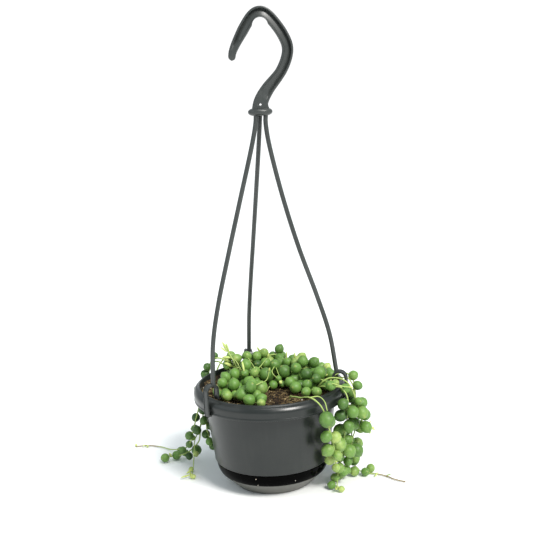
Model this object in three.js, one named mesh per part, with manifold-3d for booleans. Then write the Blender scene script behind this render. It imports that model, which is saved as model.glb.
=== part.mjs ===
// A string of pearls in a small hanging pot that stands on a table.
// Millimetres, +Z up. The origin is the middle of the saucer's foot, on the table,
// and the front of the pot faces -Y.

import * as THREE from 'three';
import { mergeVertices } from 'three/addons/utils/BufferGeometryUtils.js';
import Module from 'manifold-3d';

const wasm = await Module();
wasm.setup();

// ---------------------------------------------------------------- driving sizes

const TURN = 2 * Math.PI;
const ROUND_SIDES = 32;          // sides of the pot, the saucer and the soil
const GAP = 0.4;                 // clearance between pieces that touch

const RIM_RADIUS = 55;           // pot, over the rim: a pot of nominally 11 cm
const RIM_Z = 74.4;              // crest of the rim
const SKIRT_Z = 64.5;            // lower edge of the rim's skirt
const MOUTH_RADIUS = 49.6;       // inside of the flared mouth, just under the crest
const RIM_INSIDE = [             // [r, z] up the inside of the mouth
  [46, SKIRT_Z], [48.2, 68.5], [MOUTH_RADIUS, 72.5], [50.2, 74.1],
];
const RIM_OUTSIDE = [            // over the crest and down to the skirt's edge
  [51, RIM_Z], [53.4, 73], [54.8, 71], [RIM_RADIUS, 69.5], [54.4, SKIRT_Z],
];
const LEDGE_Z = 19.6;            // where the wall ends over the saucer
const LEDGE_RADIUS = 41.9;
const DRAIN_HOLES = 6;
const DRAIN_RADIUS = 2.5;
const DRAIN_CIRCLE = 17;

const FOOT_RADIUS = 28.4;        // flat foot of the saucer
const SAUCER_Z = 19.1;           // its upper edge, just under the ledge
const SAUCER_FLOOR = 1.6;

const CLIPS = [                  // where each clip sits, and how far its leg turns on its way up
  { angle: 343, turn: -2 }, { angle: 219, turn: 6 }, { angle: 107, turn: -16 },
];
const CLIP_WIDTH = 4.6;
const CLIP_THICK = 1.7;
const ARCH_RADIUS = 5.4;         // outside of the arch over the rim
const ARCH_Z = 80;
const ARCH_AXIS = RIM_RADIUS + 0.6 + CLIP_THICK - ARCH_RADIUS;
const BARB_Z = 62.9;             // foot of the clip's outer strap, under the skirt
const INNER_STRAP_Z = 73.4;

const LEG_RADIUS = 1.6;
const COLLAR = { x: 2.3, z: 266.6, wide: 8.4, deep: 6.6, high: 4.8 };
const LEG_LINE = [               // [distance from the axis, height] down one leg
  [4.1, 267], [4.3, 258], [8, 241], [17.7, 207.5], [28.4, 173.5],
  [39.8, 139.5], [47, 112], [49.8, 83.9],
];
const LEG_BOW = -3.6;            // the legs bow to the left, as they hang in use

const HOOK_DEPTH = 7;
const HOOK_FLANGE = 1.5;
const HOOK_WEB = 2.6;
const CROOK = { x: 4.8, z: 324, radius: 5.3 };
const HOOK_HOLE = { x: 2.7, z: 271.6, radius: 0.9 };
const HOOK_LINE = [              // [x, z] along the middle of the hook
  [2.6, 266.5], [3.2, 273.5], [8, 281.7], [18, 293.9], [22.6, 306.6],
  [19.6, 317.3], [11.3, 329], [5.2, 332.6], [-0.9, 329.6], [-8.5, 318.4],
  [-14, 308.2], [-15.4, 301.5],
];

const SOIL_Z = 67.6;
const SOIL_RADIUS = 48.4;
const SOIL_RINGS = [12, 24, 34, 42];
const BRIM = { from: 36, to: 49, rise: 4 };    // where the soil climbs towards the rim
const HOLE_RADIUS = 1.8;         // holes that the stems stand in
const ROOT_DEPTH = 6;

const STEM_RADIUS = 0.8;
const STEM_STEP = 5;             // from one leaf node of a stem to the next
const STEM_SIDES = 4;
const ROOT_RISE = 1.6;           // first leaf node over the soil
const ROUNDNESS = 1.05;          // room for the few flat sides of a pearl
const ROOT_SINK = 0.45;          // how far a pearl's stalk passes the stem's middle
const CORNER_REACH = 1.09;       // from a pearl's middle to its corners, in radii
const TIP_HEIGHT = 0.15;         // the small point at the outer end of a pearl
const BUD_RADIUS = 1.1;
const GOLDEN_ANGLE = 2.39996;    // from one pearl to the next, round the stem
const SEED = 20;

const NECK = 1;                  // from the stem's middle to a pearl's skin
const NECK_SLACK = 1.6;
const TIP = 0.16;                // room for a pearl's point, in radii
const PEARL_GAP = 0.45;
const LEAST_GAP = 0.35;
const CLEARANCE = 0.55;          // from the plant to the pot and the soil
const SOIL_EXTRA = 0.4;          // more of it over the soil, whose faces are coarse
const TABLE_EASE = 0.3;          // less of it over the table
const HANGER_CLEARANCE = 0.45;
const STEM_SPACING = 3.1;
const ROUNDS = 200;              // of settling, the last ones without weight
const QUIET_ROUNDS = 60;
const SINK = 0.05;
const HOLD = 0.06;
const POT_OUTLINE = [            // [r, z] round everything that the stems lie against
  [46, 50], ...RIM_INSIDE, ...RIM_OUTSIDE, [47.6, SKIRT_Z], [LEDGE_RADIUS, 19.4], [41.3, 19],
  [40.5, 14], [38.9, 10.7], [36.2, 8.3], [FOOT_RADIUS, 0], [20, -8], [20, 50],
];

// ---------------------------------------------------------------- materials

function matte(color, roughness) {
  return new THREE.MeshStandardMaterial({ color, roughness, metalness: 0 });
}

const POT_PLASTIC = matte(0x4b5150, 0.45);
const SAUCER_PLASTIC = matte(0x111211, 0.25);
const HANGER_PLASTIC = matte(0x4a4f52, 0.5);
const POTTING_SOIL = matte(0x3a291d, 0.95);
const LEAF = matte(0x6f9a4d, 0.4);

// ---------------------------------------------------------------- solids

// A closed geometry as a solid, with its poles closed and its faces outwards.
function solid(geometry) {
  const bare = geometry.index ? geometry.toNonIndexed() : geometry.clone();
  bare.deleteAttribute('normal');
  bare.deleteAttribute('uv');
  const merged = mergeVertices(bare, 1e-4);
  const points = merged.attributes.position;
  const corner = (i) => new THREE.Vector3().fromBufferAttribute(points, i);
  const faces = [];
  let volume = 0;
  for (let i = 0; i < merged.index.count; i += 3) {
    const [a, b, c] = [0, 1, 2].map((k) => merged.index.getX(i + k));
    if (a === b || b === c || c === a) continue;
    faces.push([a, b, c]);
    volume += corner(a).dot(corner(b).cross(corner(c)));
  }
  if (volume < 0) faces.forEach((face) => face.reverse());
  return new wasm.Manifold(new wasm.Mesh({
    numProp: 3,
    vertProperties: new Float32Array(points.array),
    triVerts: new Uint32Array(faces.flat()),
  }));
}

function union(solids) {
  return solids.reduce((whole, next) => whole.add(next));
}

function lathe(profile, sides = ROUND_SIDES) {
  const points = profile.map(([r, z]) => new THREE.Vector2(r, z));
  return new THREE.LatheGeometry(points, sides).rotateX(Math.PI / 2);
}

// A flat outline in the XZ plane, as thick as depth about the plane y = middle.
function plate(shape, depth, middle = 0, curveSegments = 6) {
  const geometry = new THREE.ExtrudeGeometry(shape, { depth, bevelEnabled: false, curveSegments });
  return geometry.rotateX(Math.PI / 2).translate(0, middle + depth / 2, 0);
}

// A smooth line through points, stepped from one of them to the next.
class PointLine extends THREE.CatmullRomCurve3 {
  getPointAt(share, target) {
    return this.getPoint(share, target);
  }

  getTangentAt(share, target) {
    return this.getTangent(share, target);
  }
}

function tube(points, radius, sides, stepsBetween = 1) {
  const section = new THREE.Shape(ring(radius, sides));
  const steps = (points.length - 1) * stepsBetween;
  return new THREE.ExtrudeGeometry(section, {
    steps, extrudePath: new PointLine(points), bevelEnabled: false,
  });
}

function ring(radius, sides) {
  return Array.from({ length: sides }, (_, i) => {
    const angle = TURN * i / sides;
    return new THREE.Vector2(radius * Math.cos(angle), radius * Math.sin(angle));
  });
}

// ---------------------------------------------------------------- pot and saucer

function pot() {
  const body = solid(lathe([
    [0, 2], [26.6, 2], [33.9, 9], [37.6, 13], [38.4, LEDGE_Z],
    [LEDGE_RADIUS, LEDGE_Z], [LEDGE_RADIUS + 0.2, LEDGE_Z + 1.4],
    [47.5, SKIRT_Z], [49.7, 68.2], [51.2, 71.8], [52.4, 72], [53.3, 70.6], [52.8, SKIRT_Z],
    ...[...RIM_INSIDE, ...RIM_OUTSIDE].reverse(),
    [40.6, 21.2], [36.8, 20.9], [36, 14], [33, 10], [25.9, 3.6], [0, 3.6],
  ]));
  const drain = solid(new THREE.CylinderGeometry(DRAIN_RADIUS, DRAIN_RADIUS, 6, 8)
    .rotateX(Math.PI / 2).translate(DRAIN_CIRCLE, 0, 3));
  const drains = Array.from({ length: DRAIN_HOLES }, (_, i) => drain.rotate([0, 0, 360 * i / DRAIN_HOLES]));
  return drains.reduce((whole, hole) => whole.subtract(hole), body);
}

function saucer() {
  return solid(lathe([
    [0, 0], [FOOT_RADIUS, 0], [36.2, 8.3], [38.9, 10.7], [40.5, 14], [41.3, SAUCER_Z],
    [39.8, SAUCER_Z], [39, 14.4], [37.6, 11.8], [35.3, 9.6], [27.6, SAUCER_FLOOR],
    [0, SAUCER_FLOOR],
  ]));
}

// ---------------------------------------------------------------- soil

function soilHeight(x, y) {
  const mound = 2.2 * Math.exp(-(x * x + y * y) / 900);
  const outwards = (Math.hypot(x, y) - BRIM.from) / (BRIM.to - BRIM.from);
  const brim = BRIM.rise * THREE.MathUtils.clamp(outwards, 0, 1);
  const lumps = 0.55 * Math.sin(0.31 * x + 0.6) * Math.cos(0.27 * y - 0.4);
  return SOIL_Z + mound + brim + lumps + 0.35 * Math.sin(0.63 * x - 0.51 * y);
}

function soil(roots) {
  const top = SOIL_Z + BRIM.rise;
  const geometry = lathe([
    [0, 3.9], [25.6, 3.9], [32.6, 10.2], [35.6, 14.2], [36.4, 21.3], [40.1, 21.6],
    [45.6, SKIRT_Z], [47.7, 68.2], [SOIL_RADIUS, top],
    ...SOIL_RINGS.map((r) => [r, top]).reverse(), [0, top],
  ]);
  const points = geometry.attributes.position;
  for (let i = 0; i < points.count; i += 1) {
    if (Math.abs(points.getZ(i) - top) > 1e-3) continue;
    points.setZ(i, soilHeight(points.getX(i), points.getY(i)));
  }
  const depth = ROOT_DEPTH + 1;
  const hole = new THREE.CylinderGeometry(HOLE_RADIUS, HOLE_RADIUS, depth + 4, 4).rotateX(Math.PI / 2);
  return roots.reduce((whole, root) => {
    const z = root.z + 2 - depth / 2;
    return whole.subtract(solid(hole.clone().translate(root.x, root.y, z)));
  }, solid(geometry));
}

// ---------------------------------------------------------------- hanger

// A point of one leg: the hanger bows and leans sideways, and each leg turns a little.
function legPoint([r, z], { angle, turn }) {
  const [[, top], [, foot]] = [LEG_LINE[0], LEG_LINE.at(-1)];
  const up = THREE.MathUtils.clamp((z - foot) / (top - foot), 0, 1);
  const round = THREE.MathUtils.degToRad(angle + turn * up);
  const shift = COLLAR.x * up + LEG_BOW * Math.sin(Math.PI * up);
  return new THREE.Vector3(r * Math.cos(round) + shift, r * Math.sin(round), z);
}

// An inverted U over the rim: outer strap with a barb under the skirt, arch, inner strap.
function clip({ angle }) {
  const outer = ARCH_AXIS + ARCH_RADIUS;
  const inner = ARCH_AXIS - ARCH_RADIUS;
  const shape = new THREE.Shape();
  shape.moveTo(outer, BARB_Z);
  shape.lineTo(outer, ARCH_Z);
  shape.absarc(ARCH_AXIS, ARCH_Z, ARCH_RADIUS, 0, Math.PI, false);
  shape.lineTo(inner, INNER_STRAP_Z);
  shape.lineTo(inner + CLIP_THICK, INNER_STRAP_Z);
  shape.absarc(ARCH_AXIS, ARCH_Z, ARCH_RADIUS - CLIP_THICK, Math.PI, 0, true);
  shape.lineTo(outer - CLIP_THICK, SKIRT_Z - GAP);
  shape.lineTo(outer - CLIP_THICK - 2.2, SKIRT_Z - GAP);
  shape.lineTo(outer - CLIP_THICK - 1.8, BARB_Z);
  return solid(plate(shape, CLIP_WIDTH).rotateZ(THREE.MathUtils.degToRad(angle)));
}

function hookHalfWidth(u) {
  const base = 5.4;
  const along = 3.8;
  if (u < 0.25) return base + (along - base) * u / 0.25;
  return u < 0.82 ? along : along - 1.5 * (u - 0.82) / 0.18;
}

// The band that follows the hook's middle line, made narrower by inset.
function hookBand(inset, from, to) {
  const line = new THREE.SplineCurve(HOOK_LINE.map(([x, z]) => new THREE.Vector2(x, z)));
  const count = 25;
  const sides = [[], []];
  for (let i = 0; i <= count; i += 1) {
    const u = from + (to - from) * i / count;
    const middle = line.getPointAt(u);
    const along = line.getTangentAt(u);
    const half = hookHalfWidth(u) - inset;
    sides[0].push(new THREE.Vector2(middle.x - along.y * half, middle.y + along.x * half));
    sides[1].unshift(new THREE.Vector2(middle.x + along.y * half, middle.y - along.x * half));
  }
  const end = line.getPointAt(to).add(line.getTangentAt(to).multiplyScalar(hookHalfWidth(to) - inset));
  return new THREE.Shape([...sides[0], end, ...sides[1]]);
}

function hook() {
  const pocketDepth = (HOOK_DEPTH - HOOK_WEB) / 2;
  const body = solid(plate(hookBand(0, 0, 0.985), HOOK_DEPTH));
  const pockets = [-1, 1].map((side) => solid(plate(
    hookBand(HOOK_FLANGE, 0.065, 0.96), pocketDepth + 1, side * (HOOK_DEPTH + 1) / 2 - side * pocketDepth / 2,
  )));
  const crook = solid(new THREE.CylinderGeometry(CROOK.radius, CROOK.radius, 20, 16)
    .rotateY(Math.PI / 16).translate(CROOK.x, 0, CROOK.z));
  const eye = solid(new THREE.CylinderGeometry(HOOK_HOLE.radius, HOOK_HOLE.radius, 20, 8)
    .translate(HOOK_HOLE.x, 0, HOOK_HOLE.z));
  return [...pockets, crook, eye].reduce((whole, cut) => whole.subtract(cut), body);
}

function collar() {
  const half = COLLAR.high / 2;
  const profile = [[0, -half], [6.2, -half], [COLLAR.wide, -0.7], [COLLAR.wide, 0.9], [6.6, half], [0, half]];
  return solid(lathe(profile, 16).scale(1, COLLAR.deep / COLLAR.wide, 1).translate(COLLAR.x, 0, COLLAR.z));
}

function hanger() {
  const legs = CLIPS.map((at) => solid(tube(LEG_LINE.map((p) => legPoint(p, at)), LEG_RADIUS, 6, 2)));
  return union([hook(), collar(), ...legs, ...CLIPS.map(clip)]);
}

// ---------------------------------------------------------------- the plant

// Each stem: its pearls, their radius near the root, midway and near the tip, how many leaf
// nodes are bare at the root and at the tip, how many tiny buds end it, and its route:
// the hole in the soil as [x, y], then points chosen by hand.
const STRANDS = [
  {
    name: 'back_left_low', pearls: 7, radius: [3.5, 3.3, 2.9], bare: [1, 0], buds: 0,
    route: [
      [-11, 31], [-15, 33, 73], [-21, 31, 74], [-26, 26, 75], [-29, 20, 75],
    ],
  },
  {
    name: 'back_left_mid', pearls: 8, radius: [3.7, 3.4, 3], bare: [2, 0], buds: 0,
    route: [
      [-7, 25], [-11, 25, 76], [-17, 24, 80], [-24, 22, 83], [-30, 18, 84],
    ],
  },
  {
    name: 'back_mid_low', pearls: 8, radius: [3.8, 3.6, 3.2], bare: [1, 0], buds: 0,
    route: [
      [-3, 37], [1, 37, 73], [8, 36, 74], [17, 33, 74], [25, 29, 74],
    ],
  },
  {
    name: 'back_mid_high', pearls: 7, radius: [3.6, 3.5, 3.3], bare: [3, 0], buds: 0,
    route: [
      [1, 27], [2, 30, 76], [5, 32, 80], [9, 32, 84], [3, 31, 86], [-4, 29, 85],
    ],
  },
  {
    name: 'back_mid_left', pearls: 8, radius: [3.7, 3.5, 3], bare: [2, 0], buds: 0,
    route: [
      [-4, 17], [-6, 18, 77], [-10, 20, 81], [-17, 20, 83], [-24, 21, 84],
    ],
  },
  {
    name: 'back_right', pearls: 7, radius: [3.6, 3.3, 2.7], bare: [2, 0], buds: 0,
    route: [
      [15, 25], [16, 27, 73], [19, 30, 75.5], [24, 28, 75.5], [29, 25, 73],
    ],
  },
  {
    name: 'centre_high', pearls: 8, radius: [4.2, 3.7, 3], bare: [2, 0], buds: 0,
    route: [
      [4, 13], [4, 13, 77], [8, 15, 81], [15, 15, 82], [21, 11, 80],
    ],
  },
  {
    name: 'centre_low', pearls: 8, radius: [3.8, 3.6, 3], bare: [1, 0], buds: 0,
    route: [
      [-8, 9], [-9, 10, 73], [-14, 11, 74], [-20, 11, 75], [-25, 8, 76],
    ],
  },
  {
    name: 'centre_left', pearls: 8, radius: [4.6, 3.8, 3.2], bare: [1, 0], buds: 0,
    route: [
      [-3, 3], [-5, 2, 76], [-10, 0, 79], [-16, 2, 81], [-21, 4, 81],
    ],
  },
  {
    name: 'front_left_low', pearls: 8, radius: [3.9, 3.8, 3.3], bare: [1, 0], buds: 0,
    route: [
      [-15, -6], [-17, -9, 73], [-21, -14, 74], [-26, -19, 73], [-31, -24, 72],
    ],
  },
  {
    name: 'front_left_high', pearls: 8, radius: [3.9, 3.7, 3.3], bare: [1, 0], buds: 0,
    route: [
      [-18, 2], [-21, 0, 75], [-25, -4, 78], [-28, -8, 79], [-30, -12, 77],
    ],
  },
  {
    name: 'front_left_rim', pearls: 8, radius: [4.4, 4.6, 2.8], bare: [1, 0], buds: 0,
    route: [
      [-11, -14], [-14, -18, 74], [-19, -24, 75], [-14, -31, 73], [-7, -34, 71],
    ],
  },
  {
    name: 'front_mid', pearls: 5, radius: [3, 2.5, 1.8], bare: [1, 0], buds: 0,
    route: [
      [-1, -3], [2, -2, 74], [8, -1, 75], [13, -5, 74],
    ],
  },
  {
    name: 'right_low', pearls: 7, radius: [3.9, 3.7, 3], bare: [1, 0], buds: 0,
    route: [
      [17, -2], [20, -6, 73], [24, -12, 73], [28, -18, 73], [32, -24, 73],
    ],
  },
  {
    name: 'right_mid', pearls: 8, radius: [3.9, 3.7, 3.2], bare: [1, 0], buds: 0,
    route: [
      [18, 7], [21, 7, 74], [28, 6, 75], [34, 5, 75], [40, 2, 74],
    ],
  },
  {
    name: 'right_high', pearls: 8, radius: [4.3, 4.2, 3.3], bare: [1, 0], buds: 0,
    route: [
      [13, 6], [15, 6, 77], [20, 7, 79.5], [26, 9, 80], [32, 11, 77.5], [38, 11, 73.5],
    ],
  },
  {
    name: 'right_back', pearls: 7, radius: [3.6, 3.4, 2.9], bare: [1, 0], buds: 0,
    route: [
      [25, 15], [27, 17, 72], [31, 20, 72], [36, 20, 72], [40, 16, 72],
    ],
  },
  {
    name: 'right_edge', pearls: 7, radius: [4.4, 3.6, 2.9], bare: [1, 0], buds: 0,
    route: [
      [26, -4], [29, -6.5, 76], [33.5, -10.5, 78], [38.5, -15, 77], [44, -19, 77],
    ],
  },
  {
    name: 'trail_front', pearls: 8, radius: [5.3, 4, 3.4], bare: [8, 0], buds: 0,
    route: [
      [14, -22], [17, -28, 72.5], [21, -35, 74], [26, -41.5, 76.5], [31, -46, 75],
      [35.5, -47.5, 69], [38.5, -46, 58], [41, -42, 48], [42.5, -37.5, 39], [43.5, -32.5, 31],
      [43.5, -28, 23],
    ],
  },
  {
    name: 'trail_mid', pearls: 15, radius: [3.8, 4.7, 2.4], bare: [4, 0], buds: 0,
    route: [
      [30, -13], [36, -18, 75], [43, -23, 77], [49, -27, 78], [53.5, -29.5, 72],
      [53.5, -29, 61], [52, -27, 48], [50.5, -25, 35], [48.5, -22, 23], [46.5, -19, 12],
      [45, -22, 4], [44, -30, 3.2],
    ],
  },
  {
    name: 'trail_clip', pearls: 14, radius: [3.3, 4.7, 2.8], bare: [5, 0], buds: 0,
    route: [
      [35, -6], [41, -9, 76], [49, -10, 79], [56, -10.5, 78.5], [60, -11.5, 71],
      [60.5, -12, 60], [60, -14, 48], [58, -16, 37], [55, -15, 27], [52.5, -12, 17],
      [51, -9, 8], [50, -7, 4],
    ],
  },
  {
    name: 'trail_back', pearls: 13, radius: [3, 4, 2.8], bare: [8, 6], buds: 0,
    route: [
      [37, 4], [44, 3, 77], [52, 1.5, 79], [58, 0, 77], [61, -2, 71], [61.5, -4, 58],
      [59.5, -6, 44], [57.5, -5, 31], [58, -3, 18], [60, 0, 8], [64.5, -1.5, 3],
      [70, -2.5, 1.3], [75.6, -4.4, 1.3], [81.7, -8.6, 1.3], [87.3, -15.2, 1.3],
      [94, -19.7, 1.3],
    ],
  },
  {
    name: 'trail_short', pearls: 6, radius: [3.2, 4.8, 4.4], bare: [9, 2], buds: 1,
    route: [
      [33, -11], [39, -15, 79], [47, -18, 81], [54, -20, 79], [58.5, -20, 71], [60, -19, 61],
      [61.5, -18, 53], [65, -17.5, 46], [69.5, -17, 42.5],
    ],
  },
  {
    name: 'left_column', pearls: 15, radius: [3, 3.6, 2.7], bare: [6, 0], buds: 0,
    route: [
      [-17, 29], [-23, 32, 76], [-30, 35, 80], [-36, 37.5, 82.5], [-41.5, 39.5, 82],
      [-45.5, 41, 76], [-46.5, 41, 66], [-47.5, 38, 56], [-49, 33, 47], [-49.5, 28.5, 38],
      [-48.5, 25, 29], [-46.5, 24, 21],
    ],
  },
  {
    name: 'left_long', pearls: 9, radius: [3.3, 3.1, 2.6], bare: [11, 9], buds: 2,
    route: [
      [-20, 25], [-27, 29, 75], [-33, 34, 78.5], [-38, 39, 80], [-43, 44, 77.5], [-47, 45, 68],
      [-50, 40, 57], [-54, 34, 46], [-58, 28, 36], [-60, 26, 27], [-63, 29, 19], [-67.5, 37, 12],
      [-73.5, 48, 7], [-79, 56, 3.5], [-85.7, 64, 1.4], [-93.4, 68.8, 1.4], [-101, 71, 1.4],
      [-110.4, 70.5, 1.4],
    ],
  },
  {
    name: 'left_short', pearls: 7, radius: [3.2, 3.4, 3], bare: [13, 0], buds: 0,
    route: [
      [-14, 36], [-21, 41, 75], [-27, 44, 79], [-32, 47, 80], [-37, 49, 76], [-42, 48, 66],
      [-47, 43, 54], [-51, 37, 43], [-54, 31, 33], [-56, 28, 24], [-59, 30, 17], [-65, 35, 10],
      [-72, 39, 5.5], [-81.3, 41, 3.8],
    ],
  },
  {
    name: 'left_shoot', pearls: 4, radius: [2.2, 2, 1.7], bare: [19, 0], buds: 0,
    route: [
      [-7, 41], [-12, 46, 75], [-16, 50, 79], [-22, 53, 79], [-29, 55.5, 70], [-38, 52, 58],
      [-46, 44, 45], [-54, 34, 32], [-58.5, 27, 20], [-60, 20, 9], [-60.5, 13, 3],
      [-62, 5, 2.2],
    ],
  },
];

// A seeded stream of even random numbers from 0 to 1 (mulberry32).
function randomStream(seed) {
  let state = seed;
  return () => {
    state = (state + 0x6d2b79f5) | 0;
    let mixed = Math.imul(state ^ (state >>> 15), state | 1);
    mixed ^= mixed + Math.imul(mixed ^ (mixed >>> 7), mixed | 61);
    return ((mixed ^ (mixed >>> 14)) >>> 0) / 4294967296;
  };
}

// Points one leaf node apart along a smooth curve through the route.
function leafNodes(route) {
  const [[x, y], ...rest] = route;
  const points = [[x, y, soilHeight(x, y) + ROOT_RISE], ...rest].map((p) => new THREE.Vector3(...p));
  const first = points[0].clone().multiplyScalar(2).sub(points[1]);
  const last = points.at(-1).clone().multiplyScalar(2).sub(points.at(-2));
  const all = [first, ...points, last];
  const fine = [];
  for (let i = 1; i < all.length - 2; i += 1) {
    for (let k = 0; k < 24; k += 1) fine.push(smooth(all.slice(i - 1, i + 3), k / 24));
  }
  fine.push(points.at(-1).clone());
  const travelled = [0];
  fine.slice(1).forEach((p, i) => travelled.push(travelled[i] + p.distanceTo(fine[i])));
  const count = Math.max(2, Math.round(travelled.at(-1) / STEM_STEP));
  return Array.from({ length: count + 1 }, (_, i) => {
    const want = travelled.at(-1) * i / count;
    let k = 1;
    while (k < fine.length - 1 && travelled[k] < want) k += 1;
    const share = (want - travelled[k - 1]) / (travelled[k] - travelled[k - 1]);
    return fine[k - 1].clone().lerp(fine[k], Math.min(share, 1));
  });
}

// The smooth curve from p1 to p2 at t, a Catmull-Rom stretch.
function smooth([p0, p1, p2, p3], t) {
  const mix = (a, b, c, d) => 0.5 * (
    2 * b + (c - a) * t + (2 * a - 5 * b + 4 * c - d) * t * t + (3 * b - a - 3 * c + d) * t * t * t
  );
  return new THREE.Vector3(
    mix(p0.x, p1.x, p2.x, p3.x), mix(p0.y, p1.y, p2.y, p3.y), mix(p0.z, p1.z, p2.z, p3.z),
  );
}

// Stems as chains of leaf nodes, and pearls round them by the golden angle.
function layOut() {
  const random = randomStream(SEED);
  const nodes = [];
  const pearls = [];
  STRANDS.forEach((strand, stem) => {
    const line = leafNodes(strand.route);
    const start = nodes.length;
    line.forEach((at, i) => nodes.push({ at, home: at.clone(), stem, fixed: i === 0 }));
    const [bareRoot, bareTip] = strand.bare;
    const last = line.length - 1 - bareTip;
    const add = (k, radius, i) => pearls.push({
      node: start + k, radius, stem, angle: i * GOLDEN_ANGLE + random() * 0.9,
    });
    for (let i = 0; i < strand.pearls; i += 1) {
      const along = i / Math.max(1, strand.pearls - 1);
      const k = Math.min(Math.round(bareRoot + (last - bareRoot) * along), last);
      add(k, pearlRadius(strand.radius, along) * (0.86 + 0.28 * random()), i);
    }
    for (let i = 0; i < strand.buds; i += 1) add(line.length - 1 - 2 * i, BUD_RADIUS, i);
    strand.first = start;
    strand.count = line.length;
  });
  pearls.forEach((pearl) => {
    const { first, count } = STRANDS[pearl.stem];
    const before = nodes[Math.max(first, pearl.node - 1)].at;
    const after = nodes[Math.min(first + count - 1, pearl.node + 1)].at;
    const along = after.clone().sub(before).normalize();
    const upright = Math.abs(along.z) < 0.9 ? new THREE.Vector3(0, 0, 1) : new THREE.Vector3(1, 0, 0);
    const side = along.clone().cross(upright).normalize();
    const up = side.clone().cross(along);
    const out = side.multiplyScalar(Math.cos(pearl.angle)).addScaledVector(up, Math.sin(pearl.angle));
    pearl.at = nodes[pearl.node].at.clone().addScaledVector(out, pearl.radius + NECK);
  });
  return { nodes, pearls };
}

function pearlRadius([root, middle, tip], along) {
  return along < 0.5 ? root + (middle - root) * 2 * along : middle + (tip - middle) * (2 * along - 1);
}

// Spheres along the clips and the lowest stretch of the legs, which the plant goes round.
function hangerSpheres() {
  const spheres = [];
  CLIPS.forEach((at) => {
    const turn = THREE.MathUtils.degToRad(at.angle);
    const add = (r, z, radius) => spheres.push({
      at: new THREE.Vector3(r * Math.cos(turn), r * Math.sin(turn), z), radius,
    });
    const middle = ARCH_RADIUS - CLIP_THICK / 2;
    const strap = 2.5;
    const leg = 2.1;
    for (let k = 0; k <= 12; k += 1) {
      const t = Math.PI * k / 12;
      add(ARCH_AXIS + middle * Math.cos(t), ARCH_Z + middle * Math.sin(t), strap);
    }
    for (let z = BARB_Z + 0.6; z < ARCH_Z + 1; z += leg) add(ARCH_AXIS + middle, z, strap);
    for (let z = INNER_STRAP_Z; z < ARCH_Z; z += leg) add(ARCH_AXIS - middle, z, strap);
    const [footRadius, footZ] = LEG_LINE.at(-1);
    for (let up = leg; up < 19; up += 4) {
      spheres.push({ at: legPoint([footRadius - 0.1 * up, footZ + up], at), radius: leg });
    }
  });
  return spheres;
}

// How far a sphere has to move to lie clear of the pot, the soil and the table.
function keepOut(at, radius) {
  const r = Math.max(Math.hypot(at.x, at.y), 1e-9);
  let best = Infinity;
  let away = [0, 0];
  let inside = false;
  POT_OUTLINE.forEach(([ar, az], i) => {
    const [br, bz] = POT_OUTLINE[(i + 1) % POT_OUTLINE.length];
    const [dr, dz] = [br - ar, bz - az];
    const t = THREE.MathUtils.clamp(((r - ar) * dr + (at.z - az) * dz) / (dr * dr + dz * dz), 0, 1);
    const off = [r - ar - t * dr, at.z - az - t * dz];
    const distance = Math.hypot(...off);
    if (distance < best) {
      best = distance;
      away = off;
    }
    if ((az > at.z) !== (bz > at.z) && r < dr * (at.z - az) / dz + ar) inside = !inside;
  });
  const sign = inside ? -1 : 1;
  const size = Math.max(0, radius - sign * best) * sign / Math.max(best, 1e-9);
  const push = new THREE.Vector3(at.x / r * away[0] * size, at.y / r * away[0] * size, away[1] * size);
  const moved = at.clone().add(push);
  let lift = Math.max(0, radius - TABLE_EASE - moved.z);
  if (Math.hypot(moved.x, moved.y) < MOUTH_RADIUS && moved.z > SKIRT_Z) {
    lift = Math.max(lift, soilHeight(moved.x, moved.y) + radius + SOIL_EXTRA - moved.z);
  }
  push.z += lift;
  return push;
}

// The pearl's reach from its middle in one direction: a ball with a small point.
function reach(pearl, direction) {
  const point = Math.max(0, (pearl.axis.dot(direction) - 0.8) / 0.2);
  return pearl.radius * ROUNDNESS * (1 + TIP * Math.min(point, 1) ** 2);
}

// The nearest point to at on the link from a to b, as a share of its length.
function nearestShare(at, a, b) {
  const along = b.clone().sub(a);
  return THREE.MathUtils.clamp(at.clone().sub(a).dot(along) / along.lengthSq(), 0, 1);
}

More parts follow.
